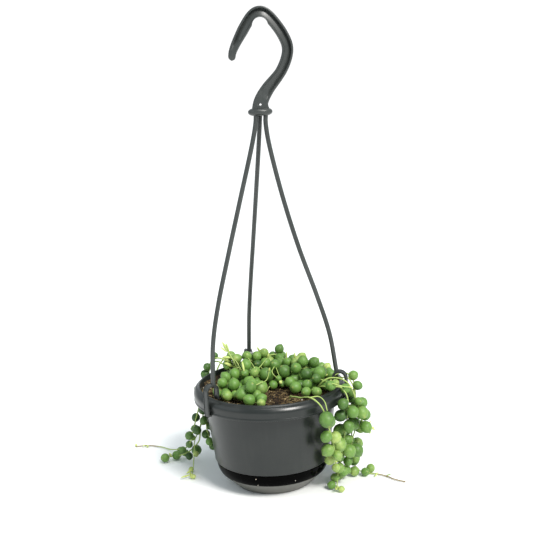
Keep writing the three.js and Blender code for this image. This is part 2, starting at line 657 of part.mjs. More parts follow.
// Lets the stems settle: they keep to their routes, sink a little, and nothing crosses.
function settle({ nodes, pearls }) {
  const bodies = [...nodes, ...pearls];
  const links = [];
  const bends = [];
  STRANDS.forEach(({ first, count }) => {
    for (let k = first; k < first + count - 1; k += 1) {
      links.push({ a: nodes[k], b: nodes[k + 1], start: k, stem: nodes[k].stem });
      if (k < first + count - 2) bends.push({ a: nodes[k], b: nodes[k + 2] });
    }
  });
  [...links, ...bends].forEach((link) => { link.length = link.a.at.distanceTo(link.b.at); });
  nodes.forEach((node) => { [node.solid, node.hull] = [STEM_RADIUS, STEM_RADIUS + 0.3]; });
  pearls.forEach((pearl) => { pearl.solid = pearl.radius * ROUNDNESS; pearl.hull = pearl.solid * 1.05; });
  const hangerParts = hangerSpheres();
  const chain = [
    ...nodes.map((node) => ({ ends: [node], at: new THREE.Vector3(), stem: node.stem })),
    ...links.map((link) => ({ ends: [link.a, link.b], at: new THREE.Vector3(), stem: link.stem })),
  ];
  const push = (body, x, y, z) => {
    if (Math.abs(x) + Math.abs(y) + Math.abs(z) <= 1e-9) return;
    body.push.x += x;
    body.push.y += y;
    body.push.z += z;
    body.hits += 1;
  };
  const apart = (body, v, size) => push(body, v.x * size, v.y * size, v.z * size);
  const move = (body, v, share) => { if (!body.fixed) body.at.addScaledVector(v, share); };
  const clearPush = () => bodies.forEach((body) => { body.push = new THREE.Vector3(); body.hits = 0; });

  const contacts = () => {
    pearls.forEach((pearl) => { pearl.axis = pearl.at.clone().sub(nodes[pearl.node].at).normalize(); });
    for (let i = 0; i < pearls.length; i += 1) {
      for (let j = i + 1; j < pearls.length; j += 1) {
        const [p, q] = [pearls[i], pearls[j]];
        const gap = p.at.distanceTo(q.at);
        if (gap > (p.radius + q.radius) * ROUNDNESS * 1.2 + PEARL_GAP) continue;
        const away = p.at.clone().sub(q.at).divideScalar(Math.max(gap, 1e-6));
        const need = reach(p, away.clone().negate()) + reach(q, away) + PEARL_GAP;
        const overlap = Math.max(0, need - gap);
        apart(p, away, overlap / 2);
        apart(q, away, -overlap / 2);
      }
    }
    pearls.forEach((pearl) => links.forEach((link) => {
      const own = pearl.stem === link.stem && Math.abs(pearl.node - link.start) <= 1;
      const need = pearl.radius * ROUNDNESS * 1.06 + STEM_RADIUS + PEARL_GAP;
      if (own || pearl.at.distanceTo(link.a.at) > need + 2 * STEM_STEP) return;
      const t = nearestShare(pearl.at, link.a.at, link.b.at);
      const away = pearl.at.clone().sub(link.a.at.clone().lerp(link.b.at, t));
      const gap = away.length();
      if (gap >= need) return;
      away.divideScalar(Math.max(gap, 1e-6));
      apart(pearl, away, (need - gap) / 2);
      apart(link.a, away, -(need - gap) * (1 - t) / 2);
      apart(link.b, away, -(need - gap) * t / 2);
    }));
    chain.forEach(({ ends, at }) => {
      at.set(0, 0, 0);
      ends.forEach((end) => at.addScaledVector(end.at, 1 / ends.length));
    });
    for (let i = 0; i < chain.length; i += 1) {
      for (let j = i + 1; j < chain.length; j += 1) {
        if (chain[i].stem === chain[j].stem) continue;
        const gap = chain[i].at.distanceTo(chain[j].at);
        if (gap >= STEM_SPACING) continue;
        const away = chain[i].at.clone().sub(chain[j].at).divideScalar(Math.max(gap, 1e-6));
        const size = (STEM_SPACING - gap) / 2;
        chain[i].ends.forEach((end) => apart(end, away, size / chain[i].ends.length));
        chain[j].ends.forEach((end) => apart(end, away, -size / chain[j].ends.length));
      }
    }
    bodies.forEach((body) => {
      const sum = new THREE.Vector3();
      hangerParts.forEach((part) => {
        const need = body.hull + part.radius + HANGER_CLEARANCE;
        const gap = body.at.distanceTo(part.at);
        if (gap < need) sum.addScaledVector(body.at.clone().sub(part.at), (need - gap) / Math.max(gap, 1e-6));
      });
      apart(body, sum, 1);
    });
    bodies.forEach((body) => move(body, body.push, 1 / Math.max(1, body.hits ** 0.7)));
  };

  const pullTogether = (ties, stiffness) => {
    clearPush();
    ties.forEach(({ a, b, length }) => {
      const along = b.at.clone().sub(a.at);
      const size = stiffness * (along.length() - length) / Math.max(along.length(), 1e-6);
      a.push.addScaledVector(along, size);
      b.push.addScaledVector(along, -size);
      a.hits += 1;
      b.hits += 1;
    });
    nodes.forEach((node) => move(node, node.push, 1.2 / Math.max(1, node.hits)));
  };

  const holdPearls = () => {
    clearPush();
    pearls.forEach((pearl) => {
      const node = nodes[pearl.node];
      const along = pearl.at.clone().sub(node.at);
      const spare = along.length() - pearl.radius - NECK;
      const keep = spare > NECK_SLACK ? spare - NECK_SLACK : Math.min(spare, 0.1 * spare);
      along.multiplyScalar(keep / Math.max(along.length(), 1e-6));
      pearl.at.addScaledVector(along, -0.8);
      node.push.addScaledVector(along, 0.2);
      node.hits += 1;
    });
    nodes.forEach((node) => move(node, node.push, 1 / Math.max(1, node.hits)));
  };

  for (let round = 0; round < ROUNDS; round += 1) {
    clearPush();
    contacts();
    if (round < ROUNDS - QUIET_ROUNDS) {
      bodies.forEach((body) => { if (!body.fixed) body.at.z -= SINK; });
      nodes.forEach((node) => move(node, node.home.clone().sub(node.at), HOLD));
    }
    for (let k = 0; k < 3; k += 1) {
      pullTogether(bends, 0.3);
      pullTogether(links, 0.5);
      holdPearls();
    }
    bodies.forEach((body) => move(body, keepOut(body.at, body.solid + CLEARANCE), 1));
    const middles = links.map((link) => link.a.at.clone().add(link.b.at).multiplyScalar(0.5));
    links.forEach((link, i) => {
      const off = keepOut(middles[i], STEM_RADIUS + CLEARANCE);
      move(link.a, off, 1);
      move(link.b, off, 1);
    });
  }
  return { nodes, pearls, links };
}

// Pearls that are still squeezed stay smaller, so that every piece keeps clear.
function trim({ nodes, pearls, links }) {
  for (let pass = 0; pass < 4; pass += 1) {
    const cuts = pearls.map(() => 0);
    pearls.forEach((pearl) => { pearl.axis = pearl.at.clone().sub(nodes[pearl.node].at).normalize(); });
    pearls.forEach((p, i) => pearls.forEach((q, j) => {
      if (j <= i || p.stem === q.stem) return;
      const away = p.at.clone().sub(q.at).normalize();
      const room = p.at.distanceTo(q.at) - LEAST_GAP;
      const lack = reach(p, away.clone().negate()) + reach(q, away) - room;
      cuts[i] = Math.max(cuts[i], lack / 2);
      cuts[j] = Math.max(cuts[j], lack / 2);
    }));
    pearls.forEach((pearl, i) => links.forEach(({ a, b, stem }) => {
      if (stem === pearl.stem) return;
      const near = a.at.clone().lerp(b.at, nearestShare(pearl.at, a.at, b.at));
      const lack = pearl.radius * ROUNDNESS + STEM_RADIUS + LEAST_GAP - near.distanceTo(pearl.at);
      cuts[i] = Math.max(cuts[i], lack);
    }));
    pearls.forEach((pearl, i) => { pearl.radius -= cuts[i]; });
  }
  return { nodes, pearls };
}

// A pearl with few sides. One corner is drawn back to a root inside the stem, and the
// opposite corner is the small point at its outer end.
function pearlSolid({ at, radius }, root) {
  const out = at.clone().sub(root);
  const reachBack = out.length() + ROOT_SINK;
  out.normalize();
  const size = radius * CORNER_REACH;
  const ball = new THREE.IcosahedronGeometry(size);
  const points = ball.attributes.position;
  const corner = new THREE.Vector3().fromBufferAttribute(points, 0).normalize();
  ball.applyQuaternion(new THREE.Quaternion().setFromUnitVectors(corner, out));
  for (let i = 0; i < points.count; i += 1) {
    const along = new THREE.Vector3().fromBufferAttribute(points, i).dot(out) / size;
    if (Math.abs(along) < 0.99) continue;
    points.setXYZ(i, ...out.clone().multiplyScalar(along > 0 ? size + TIP_HEIGHT : -reachBack));
  }
  return solid(ball.translate(at.x, at.y, at.z));
}

// One stem from the bottom of its hole to its last leaf node, fused with its pearls.
function strandSolid({ first, count }, { nodes, pearls }) {
  const line = nodes.slice(first, first + count).map(({ at }) => at);
  const down = (depth) => line[0].clone().setZ(line[0].z - ROOT_RISE - depth);
  const stem = solid(tube([down(ROOT_DEPTH), down(2), ...line], STEM_RADIUS, STEM_SIDES));
  const own = pearls.filter(({ stem: index }) => STRANDS[index].first === first);
  return union([stem, ...own.map((pearl) => pearlSolid(pearl, nodes[pearl.node].at))])
    .asOriginal().simplify(0.06);
}

// ---------------------------------------------------------------- the whole part

function piece(name, body, material) {
  const { vertProperties, triVerts } = body.getMesh();
  const geometry = new THREE.BufferGeometry();
  geometry.setAttribute('position', new THREE.BufferAttribute(vertProperties, 3));
  geometry.setIndex(new THREE.BufferAttribute(triVerts, 1));
  geometry.computeVertexNormals();
  const mesh = new THREE.Mesh(geometry, material);
  mesh.name = name;
  return mesh;
}

const plant = trim(settle(layOut()));
const roots = STRANDS.map(({ route: [[x, y]] }) => new THREE.Vector3(x, y, soilHeight(x, y)));

const group = new THREE.Group();
group.name = 'string_of_pearls';
group.add(
  piece('pot', pot(), POT_PLASTIC),
  piece('saucer', saucer(), SAUCER_PLASTIC),
  piece('soil', soil(roots), POTTING_SOIL),
  piece('hanger', hanger(), HANGER_PLASTIC),
  ...STRANDS.map((strand) => piece(`strand_${strand.name}`, strandSolid(strand, plant), LEAF)),
);

export default group;
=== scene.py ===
# %% [markdown]
# # A string of pearls in its hanging pot
#
# The real object is a small succulent whose stems carry leaves as round as peas. It grows in a
# nursery pot of dark plastic with its own saucer and a clip-on hanger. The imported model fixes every
# size, so this lesson is about looks: each CAD solid with few faces gets a finer piece of the same
# form, in the same place. Everything here is in metres, but the sizes below are written in
# millimetres and multiplied by MM, because that is how such a pot is measured.

# %% Load the part
import math

import bmesh
import bpy
import numpy as np
from mathutils import Matrix, Vector, noise


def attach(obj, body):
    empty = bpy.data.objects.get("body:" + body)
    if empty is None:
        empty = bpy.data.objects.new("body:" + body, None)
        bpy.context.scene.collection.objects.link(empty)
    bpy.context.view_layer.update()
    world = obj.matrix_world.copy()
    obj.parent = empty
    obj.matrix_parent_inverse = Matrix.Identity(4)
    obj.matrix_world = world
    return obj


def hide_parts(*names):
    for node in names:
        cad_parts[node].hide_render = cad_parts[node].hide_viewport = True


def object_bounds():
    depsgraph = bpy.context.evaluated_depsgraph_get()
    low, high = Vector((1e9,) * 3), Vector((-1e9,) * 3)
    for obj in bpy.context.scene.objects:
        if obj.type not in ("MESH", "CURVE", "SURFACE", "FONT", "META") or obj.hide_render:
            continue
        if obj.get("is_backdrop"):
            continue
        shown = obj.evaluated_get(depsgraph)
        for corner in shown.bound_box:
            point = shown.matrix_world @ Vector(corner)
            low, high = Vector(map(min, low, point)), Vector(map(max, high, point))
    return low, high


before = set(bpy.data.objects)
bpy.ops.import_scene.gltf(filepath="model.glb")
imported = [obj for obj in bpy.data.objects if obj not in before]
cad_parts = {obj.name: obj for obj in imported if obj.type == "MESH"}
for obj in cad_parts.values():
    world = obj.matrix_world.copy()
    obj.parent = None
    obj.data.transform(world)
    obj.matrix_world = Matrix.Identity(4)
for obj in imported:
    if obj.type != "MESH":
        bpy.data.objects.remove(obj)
cad_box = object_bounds()
MM = 0.001
TURN = 2 * math.pi
size = (cad_box[1] - cad_box[0]) / MM
print("CAD nodes:", len(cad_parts), "size in mm:", [round(value, 1) for value in size])

# %% [markdown]
# ## The camera
#
# A camera can be placed by eye, or worked out. Here the ellipses of the rim and the ledge, and the
# lengths of the hanger's legs, gave the camera's height, its tilt and its slight roll, so that the
# picture and the model agree everywhere at once. The frame is square.

# %% The camera
PITCH = math.radians(11.525)
YAW = math.radians(0.152)
ROLL = math.radians(2.642)
SENSOR_WIDTH = 36
FOCAL_LENGTH = 63.63
CAMERA_AT = (0, -650, 291.6)

ahead = Vector((math.sin(YAW) * math.cos(PITCH), math.cos(YAW) * math.cos(PITCH), -math.sin(PITCH)))
level = Vector((math.cos(YAW), -math.sin(YAW), 0))
above = level.cross(ahead)
right = math.cos(ROLL) * level - math.sin(ROLL) * above
upward = math.sin(ROLL) * level + math.cos(ROLL) * above
lens = bpy.data.cameras.new("camera")
lens.sensor_width = SENSOR_WIDTH
lens.lens = FOCAL_LENGTH
camera = bpy.data.objects.new("camera", lens)
bpy.context.scene.collection.objects.link(camera)
place_in_room = Matrix((right, upward, -ahead)).transposed().to_4x4()
place_in_room.translation = Vector(CAMERA_AT) * MM
camera.matrix_world = place_in_room
bpy.context.scene.camera = camera
print("camera", [round(value, 3) for value in camera.location])

# %% [markdown]
# ## Small helpers for node trees
#
# Shaders and Geometry Nodes are both trees of nodes. A few helpers keep the later cells short: one
# places a node with its values and links, some do sums or mix colours, and one makes a group with
# named inputs. A socket is looked up by its name among those that are in use, since some nodes keep
# hidden twins. Colours below are given as on a screen, from 0 to 255, and turned into the even light
# that Blender mixes.

# %% Node helpers
def socket(sockets, key):
    if isinstance(key, int):
        return sockets[key]
    return next(each for each in sockets if each.name == key and each.enabled)


def feed(tree, target, value):
    """Links a socket to a target, or sets the target to a plain value."""
    if isinstance(value, bpy.types.NodeSocket):
        tree.links.new(value, target)
    else:
        target.default_value = value


def put(tree, kind, inputs=None, **settings):
    """A new node, with its settings and its inputs."""
    made = tree.nodes.new(kind)
    for key, value in settings.items():
        setattr(made, key, value)
    for key, value in (inputs or {}).items():
        feed(tree, socket(made.inputs, key), value)
    return made


def out(node, key=None):
    return next(each for each in node.outputs if each.enabled and key in (None, each.name))


def maths(tree, operation, *values, clamp=False):
    inputs = dict(enumerate(values))
    return out(put(tree, "ShaderNodeMath", inputs, operation=operation, use_clamp=clamp))


def vector_maths(tree, operation, *values):
    return out(put(tree, "ShaderNodeVectorMath", dict(enumerate(values)), operation=operation))


def spread(tree, value, low, high):
    """Eases from 0 to 1 while the value goes from low to high."""
    inputs = {"Value": value, "From Min": low, "From Max": high, "To Min": 0.0, "To Max": 1.0}
    return out(put(tree, "ShaderNodeMapRange", inputs, interpolation_type="SMOOTHSTEP"))


def blend_colours(tree, share, first, second):
    made = put(tree, "ShaderNodeMix", data_type="RGBA")
    for key, value in (("Factor", share), ("A", first), ("B", second)):
        feed(tree, socket(made.inputs, key), value)
    return out(made, "Result")


def group(name, kind, inputs, outputs):
    """A node group, with the nodes that stand for its inputs and its outputs."""
    tree = bpy.data.node_groups.new(name, kind)
    for label, form in outputs:
        tree.interface.new_socket(label, in_out="OUTPUT", socket_type=form)
    for label, form, value in inputs:
        made = tree.interface.new_socket(label, in_out="INPUT", socket_type=form)
        if value is not None:
            made.default_value = value
    return tree, tree.nodes.new("NodeGroupInput"), tree.nodes.new("NodeGroupOutput")


def end_with_finish(tree, geometry, given, result):
    """The end of a Geometry Nodes tree: copies become real geometry and get the finish."""
    real = out(put(tree, "GeometryNodeRealizeInstances", {"Geometry": geometry}))
    inputs = {"Geometry": real, "Material": out(given, "Finish")}
    tree.links.new(out(put(tree, "GeometryNodeSetMaterial", inputs)), result.inputs["Geometry"])


def even_light(channel):
    """One channel of a screen colour, from 0 to 255, by the sRGB rule."""
    share = channel / 255
    return ((share + 0.055) / 1.055) ** 2.4 if share > 0.04045 else share / 12.92


def colour(red, green, blue):
    return even_light(red), even_light(green), even_light(blue), 1


print("node helpers ready")

# %% [markdown]
# ## The room
#
# The photograph was taken on a bright white surface: all but the shadow is burnt out to white. A
# small lamp would draw hard shadows, and a bright world alone would draw none. So a broad, warm sun
# at the front right throws the one soft shadow, a cool lamp lights the pot's left side, a weak one
# overhead gives the rim its shine, and the pale blue world fills the shadow in. Only the camera sees
# the world as pure white.

# %% Floor, lamps and world
FLOOR_HALF = 6.0
MAT_MIDDLE = (0, 0, 0.06)

floor_mesh = bpy.data.meshes.new("floor")
corners = [(-FLOOR_HALF, -FLOOR_HALF, 0), (FLOOR_HALF, -FLOOR_HALF, 0),
           (FLOOR_HALF, FLOOR_HALF, 0), (-FLOOR_HALF, FLOOR_HALF, 0)]
floor_mesh.from_pydata(corners, [], [(0, 1, 2, 3)])
floor = bpy.data.objects.new("floor", floor_mesh)
bpy.context.scene.collection.objects.link(floor)
floor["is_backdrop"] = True

paper = bpy.data.materials.new("white paper")
paper.use_nodes = True
paper_skin = paper.node_tree.nodes["Principled BSDF"]
where = out(put(paper.node_tree, "ShaderNodeTexCoord"), "Object")
grain = put(paper.node_tree, "ShaderNodeTexNoise", {"Vector": where, "Scale": 400.0, "Detail": 3.0})
tint = blend_colours(paper.node_tree, out(grain), (0.93, 0.94, 0.94, 1), (0.96, 0.96, 0.95, 1))
paper.node_tree.links.new(tint, paper_skin.inputs["Base Color"])
paper_skin.inputs["Roughness"].default_value = 0.75
paper_skin.inputs["Specular IOR Level"].default_value = 0.25
floor_mesh.materials.append(paper)


def hang(light, place, aim, tint):
    light.color = tint
    made = bpy.data.objects.new(light.name, light)
    bpy.context.scene.collection.objects.link(made)
    made.location = place
    made.rotation_euler = (Vector(aim) - Vector(place)).to_track_quat("-Z", "Y").to_euler()


def sun(name, place, strength, width_in_degrees, tint):
    """A light so far off that it lights the whole table evenly."""
    light = bpy.data.lights.new(name, "SUN")
    light.energy = strength
    light.angle = math.radians(width_in_degrees)
    hang(light, place, (0, 0, 0), tint)


def round_lamp(name, place, width, watts, tint):
    light = bpy.data.lights.new(name, "AREA")
    light.shape = "DISK"
    light.size = width
    light.energy = watts
    hang(light, place, MAT_MIDDLE, tint)


sun("window_right", (0.56, -0.78, 0.95), 3.4, 18, (1.0, 0.975, 0.94))
round_lamp("window_left", (-1.0, -0.35, 0.7), 0.9, 1.5, (0.86, 0.94, 1.0))
round_lamp("ceiling", (0.10, -0.3, 1.2), 0.5, 4.0, (1.0, 0.99, 0.97))

room = bpy.data.worlds.new("room")
room.use_nodes = True
room.node_tree.nodes.clear()
soft = put(room.node_tree, "ShaderNodeBackground", {"Color": (0.86, 0.95, 1.0, 1), "Strength": 0.62})
white = put(room.node_tree, "ShaderNodeBackground", {"Color": (1, 1, 1, 1), "Strength": 1.1})
seen = out(put(room.node_tree, "ShaderNodeLightPath"), "Is Camera Ray")
either = put(room.node_tree, "ShaderNodeMixShader", {0: seen, 1: out(soft), 2: out(white)})
put(room.node_tree, "ShaderNodeOutputWorld", {"Surface": out(either)})
bpy.context.scene.world = room
bpy.context.scene.view_settings.view_transform = "Standard"
print("floor, a sun, two lamps and a pale world")

# %% [markdown]
# ## Effects that several finishes share
#
# Moulded plastic is never perfectly even: the mould leaves a fine grain, and handling leaves dust and
# faint streaks. Plants have their own: a waxy skin, mottled at the scale of a millimetre. Each such
# effect is a group that gives out only colours, values and heights, so that every material can use it
# with its own numbers while the glossy shader stays in the material itself.

# %% Moulded grain and dust
grain_tree, given, result = group(
    "Moulded grain", "ShaderNodeTree",
    [("Vector", "NodeSocketVector", None), ("Scale", "NodeSocketFloat", 1800.0)],
    [("Height", "NodeSocketFloat")],
)
fine = put(grain_tree, "ShaderNodeTexNoise", {
    "Vector": out(given, "Vector"), "Scale": out(given, "Scale"), "Detail": 3.0, "Roughness": 0.6})
wide = put(grain_tree, "ShaderNodeTexNoise", {
    "Vector": out(given, "Vector"), "Scale": 160.0, "Detail": 2.0})
total = maths(grain_tree, "MULTIPLY_ADD", out(wide), 1.6, out(fine))
grain_tree.links.new(total, result.inputs["Height"])

dust_tree, given, result = group(
    "Dust and streaks", "ShaderNodeTree",
    [("Vector", "NodeSocketVector", None), ("Clean", "NodeSocketColor", (0.05, 0.05, 0.05, 1)),
     ("Dusty", "NodeSocketColor", (0.3, 0.3, 0.3, 1)), ("Amount", "NodeSocketFloat", 0.3),
     ("Shine", "NodeSocketFloat", 0.4)],
    [("Color", "NodeSocketColor"), ("Roughness", "NodeSocketFloat")],
)
specks = put(dust_tree, "ShaderNodeTexNoise", {
    "Vector": out(given, "Vector"), "Scale": 900.0, "Detail": 4.0, "Roughness": 0.75})
patches = put(dust_tree, "ShaderNodeTexNoise", {
    "Vector": out(given, "Vector"), "Scale": 38.0, "Detail": 4.0, "Roughness": 0.6})
upright = put(dust_tree, "ShaderNodeMapping", {
    "Vector": out(given, "Vector"), "Scale": (220.0, 220.0, 9.0)})
streaks = put(dust_tree, "ShaderNodeTexNoise", {"Vector": out(upright), "Scale": 1.0, "Detail": 3.0})
normal = out(put(dust_tree, "ShaderNodeNewGeometry"), "Normal")
facing = put(dust_tree, "ShaderNodeSeparateXYZ", {0: normal})
lying = spread(dust_tree, out(facing, "Z"), 0.25, 0.95)
speckle = spread(dust_tree, out(specks), 0.56, 0.72)
patchy = spread(dust_tree, out(patches), 0.42, 0.68)
veil = maths(dust_tree, "MULTIPLY", patchy, maths(dust_tree, "MULTIPLY_ADD", lying, 0.7, 0.3))
grit = maths(dust_tree, "MULTIPLY", speckle, maths(dust_tree, "MULTIPLY_ADD", lying, 0.8, 0.08))
streaky = maths(dust_tree, "MULTIPLY", spread(dust_tree, out(streaks), 0.45, 0.75), 0.35)
mess = maths(dust_tree, "ADD", maths(dust_tree, "ADD", veil, grit), streaky)
share = maths(dust_tree, "MULTIPLY", mess, out(given, "Amount"), clamp=True)
mixed = blend_colours(dust_tree, share, out(given, "Clean"), out(given, "Dusty"))
dust_tree.links.new(mixed, result.inputs["Color"])
rough = maths(dust_tree, "MULTIPLY_ADD", share, 0.5, out(given, "Shine"), clamp=True)
dust_tree.links.new(rough, result.inputs["Roughness"])
print("groups:", grain_tree.name, "and", dust_tree.name)

# %% Leaf skin
# Its tone input is youth, and for some stems also painted shade.
leaf_tree, given, result = group(
    "Leaf skin", "ShaderNodeTree",
    [("Vector", "NodeSocketVector", None), ("Dark", "NodeSocketColor", (0, 0, 0, 1)),
     ("Middle", "NodeSocketColor", (0, 0, 0, 1)), ("Young", "NodeSocketColor", (0, 0, 0, 1)),
     ("Youth", "NodeSocketFloat", 0.5)],
    [("Color", "NodeSocketColor"), ("Height", "NodeSocketFloat")],
)
mottle = put(leaf_tree, "ShaderNodeTexNoise", {
    "Vector": out(given, "Vector"), "Scale": 420.0, "Detail": 3.0, "Roughness": 0.55})
broad = put(leaf_tree, "ShaderNodeTexNoise", {
    "Vector": out(given, "Vector"), "Scale": 75.0, "Detail": 2.0})
cells = put(leaf_tree, "ShaderNodeTexVoronoi", {"Vector": out(given, "Vector"), "Scale": 2600.0})
shift = maths(leaf_tree, "MULTIPLY_ADD", out(mottle), 0.30, out(given, "Youth"))
shift = maths(leaf_tree, "MULTIPLY_ADD", out(broad), 0.34, shift)
tone = maths(leaf_tree, "SUBTRACT", shift, 0.32, clamp=True)
past_dark = spread(leaf_tree, tone, 0.0, 0.5)
past_middle = spread(leaf_tree, tone, 0.5, 1.0)
low = blend_colours(leaf_tree, past_dark, out(given, "Dark"), out(given, "Middle"))
full = blend_colours(leaf_tree, past_middle, low, out(given, "Young"))
leaf_tree.links.new(full, result.inputs["Color"])
pores = maths(leaf_tree, "MULTIPLY", out(cells), 0.5)
leaf_tree.links.new(maths(leaf_tree, "ADD", out(mottle), pores), result.inputs["Height"])
print("group:", leaf_tree.name)

# %% [markdown]
# ## Plastic
#
# The pot, the saucer and the hanger are all injection-moulded polypropylene: even in colour, with a
# satin skin where the mould was blasted and a glossy one where it was polished. The Principled
# shader does this with one colour under a veil of dust, and a very fine bump. The pot is a dark
# anthracite and the hanger a paler one. The saucer's upright band is polished black. Its underside
# has a finish of its own, a warm grey that is painted reflection: it stands for the white table
# mirrored at a grazing angle in the black plastic.

# %% Plastic finishes
def bare_finish(name):
    """A material with its tree, its Principled shader and the place on the piece."""
    material = bpy.data.materials.new(name)
    material.use_nodes = True
    tree = material.node_tree
    tree.nodes.clear()
    skin = put(tree, "ShaderNodeBsdfPrincipled")
    put(tree, "ShaderNodeOutputMaterial", {"Surface": out(skin)})
    where = out(put(tree, "ShaderNodeTexCoord"), "Object")
    return material, tree, skin, where


def use(tree, shared, **inputs):
    """A shared group, placed in a material with its own values."""
    made = tree.nodes.new("ShaderNodeGroup")
    made.node_tree = shared
    for key, value in inputs.items():
        feed(tree, made.inputs[key], value)
    return made


def bump(tree, height, strength, distance):
    made = put(tree, "ShaderNodeBump", {"Height": height, "Strength": strength, "Distance": distance})
    return out(made, "Normal")


def plastic(name, clean, dusty, dust, shine, specular, grain_size, depth):
    """Sizes are in mm, and shine is the roughness of the clean skin."""
    material, tree, skin, where = bare_finish(name)
    look = use(tree, dust_tree, Vector=where, Clean=clean, Dusty=dusty, Amount=dust, Shine=shine)
    tree.links.new(look.outputs["Color"], skin.inputs["Base Color"])
    tree.links.new(look.outputs["Roughness"], skin.inputs["Roughness"])
    skin.inputs["Specular IOR Level"].default_value = specular
    moulded = use(tree, grain_tree, Vector=where, Scale=1 / (grain_size * MM))
    tree.links.new(bump(tree, moulded.outputs["Height"], 0.25, depth * MM), skin.inputs["Normal"])
    return material


pot_plastic = plastic(
    "pot plastic", clean=(0.0115, 0.0140, 0.0130, 1), dusty=(0.09, 0.09, 0.08, 1), dust=0.12,
    shine=0.28, specular=0.45, grain_size=0.5, depth=0.05)
saucer_plastic = plastic(
    "saucer plastic", clean=(0.001, 0.001, 0.001, 1), dusty=(0.05, 0.05, 0.05, 1), dust=0.02,
    shine=0.1, specular=0.02, grain_size=0.6, depth=0.02)
hanger_plastic = plastic(
    "hanger plastic", clean=(0.032, 0.036, 0.034, 1), dusty=(0.15, 0.155, 0.15, 1), dust=0.18,
    shine=0.34, specular=0.5, grain_size=0.45, depth=0.06)
# The saucer's underside: a painted reflection of the white table, under a veil of dust.
painted_reflection_plastic = plastic(
    "saucer underside", clean=(0.073, 0.073, 0.060, 1), dusty=(0.12, 0.12, 0.10, 1), dust=0.12,
    shine=0.39, specular=0.5, grain_size=0.6, depth=0.02)
print("finishes:", pot_plastic.name, saucer_plastic.name, painted_reflection_plastic.name, hanger_plastic.name)

# %% [markdown]
# ## Making a piece
#
# Every mesh here is made the same way: points in millimetres, faces that look outwards, one finish
# and smooth shading. Each piece is then hung under the root, and the CAD nodes it stands for are
# hidden. The object itself stays at the origin, unturned, and its place is in its mesh.

# %% Piece helpers
def link_piece(name, mesh):
    made = bpy.data.objects.new(name, mesh)
    bpy.context.scene.collection.objects.link(made)
    return made


def mesh_from_bmesh(name, made, sharp=None):
    """A smooth mesh with outward faces; edges past the angle sharp, in degrees, stay sharp."""
    bmesh.ops.recalc_face_normals(made, faces=made.faces)
    mesh = bpy.data.meshes.new(name)
    made.to_mesh(mesh)
    made.free()
    mesh.shade_smooth()
    if sharp is not None:
        mesh.set_sharp_from_angle(angle=math.radians(sharp))
    return mesh


def piece_from_bmesh(name, made, finish, sharp=None):
    mesh = mesh_from_bmesh(name, made, sharp)
    mesh.materials.append(finish)
    return link_piece(name, mesh)


def stands_for(piece, slot_name, *nodes):
    """Hangs a piece under the root and hides the CAD nodes it stands for, if any."""
    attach(piece, "root")
    if nodes:
        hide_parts(*nodes)
    print(f"{piece.name}: {len(piece.data.polygons)} faces, for {', '.join(nodes) or slot_name}")


def bake(piece):
    """Turns what the modifiers make into the piece's own plain mesh."""
    shown = piece.evaluated_get(bpy.context.evaluated_depsgraph_get())
    mesh = bpy.data.meshes.new_from_object(shown)
    piece.modifiers.clear()
    piece.data = mesh
    return piece


def grown(name, mesh, tree, **inputs):
    """An object whose Geometry Nodes tree has its inputs set, and is then made a plain mesh."""
    piece = link_piece(name, mesh)
    modifier = piece.modifiers.new("nodes", "NODES")
    modifier.node_group = tree
    for item in tree.interface.items_tree:
        if item.item_type == "SOCKET" and item.in_out == "INPUT" and item.name in inputs:
            modifier[item.identifier] = inputs[item.name]
    return bake(piece)


def drilled(piece, title, holes):
    """Cuts the closed forms in a bmesh out of a piece."""
    drill = piece_from_bmesh("drill", holes, piece.data.materials[0])
    cut = piece.modifiers.new(title, "BOOLEAN")
    cut.operation = "DIFFERENCE"
    cut.solver = "EXACT"
    cut.object = drill
    bake(piece)
    bpy.data.objects.remove(drill)


# %% Turned outlines
MOST_OF_SIDE = 0.48
ON_AXIS = 1e-6


def filleted(corners, steps=4):
    """An outline through (r, z, fillet) corners, each rounded by its fillet."""
    points = []
    for i, (r, z, fillet) in enumerate(corners):
        at = Vector((r, z))
        if not fillet:
            points.append(at)
            continue
        sides = [Vector(corners[i + k][:2]) - at for k in (-1, 1)]
        start, end = (at + side.normalized() * min(fillet, side.length * MOST_OF_SIDE)
                      for side in sides)
        for k in range(steps + 1):
            t = k / steps
            points.append(start * (1 - t) ** 2 + at * 2 * t * (1 - t) + end * t * t)
    return points


def turned(outline, sides=192):
    """Spins an outline that runs from the axis below, up the outside and back to the axis."""
    made = bmesh.new()
    rings = []
    for r, z in outline:
        count = sides if r > ON_AXIS else 1
        ring = []
        for i in range(count):
            angle = TURN * i / sides
            ring.append(made.verts.new((r * math.cos(angle) * MM, r * math.sin(angle) * MM, z * MM)))
        rings.append(ring)
    for low, high in zip(rings, rings[1:]):
        for i in range(sides):
            j = (i + 1) % sides
            loop = [low[i % len(low)], low[j % len(low)], high[j % len(high)], high[i % len(high)]]
            made.faces.new(list(dict.fromkeys(loop)))
    return made


print("piece helpers ready")

# %% [markdown]
# ## The pot
#
# The real pot is one thin moulding: a tapered wall that flares at the mouth, a rim with a skirt that
# hangs outside it, and a step at the foot where the saucer clips on. It could be made from a cylinder
# and edge loops, but a turned outline says the same in one list, and each corner has its own small
# radius, which is where plastic catches the light. Three details are too fine for the CAD solid: the
# bead along the skirt's lower edge, the lip over the saucer, and the narrow crest of the rim.

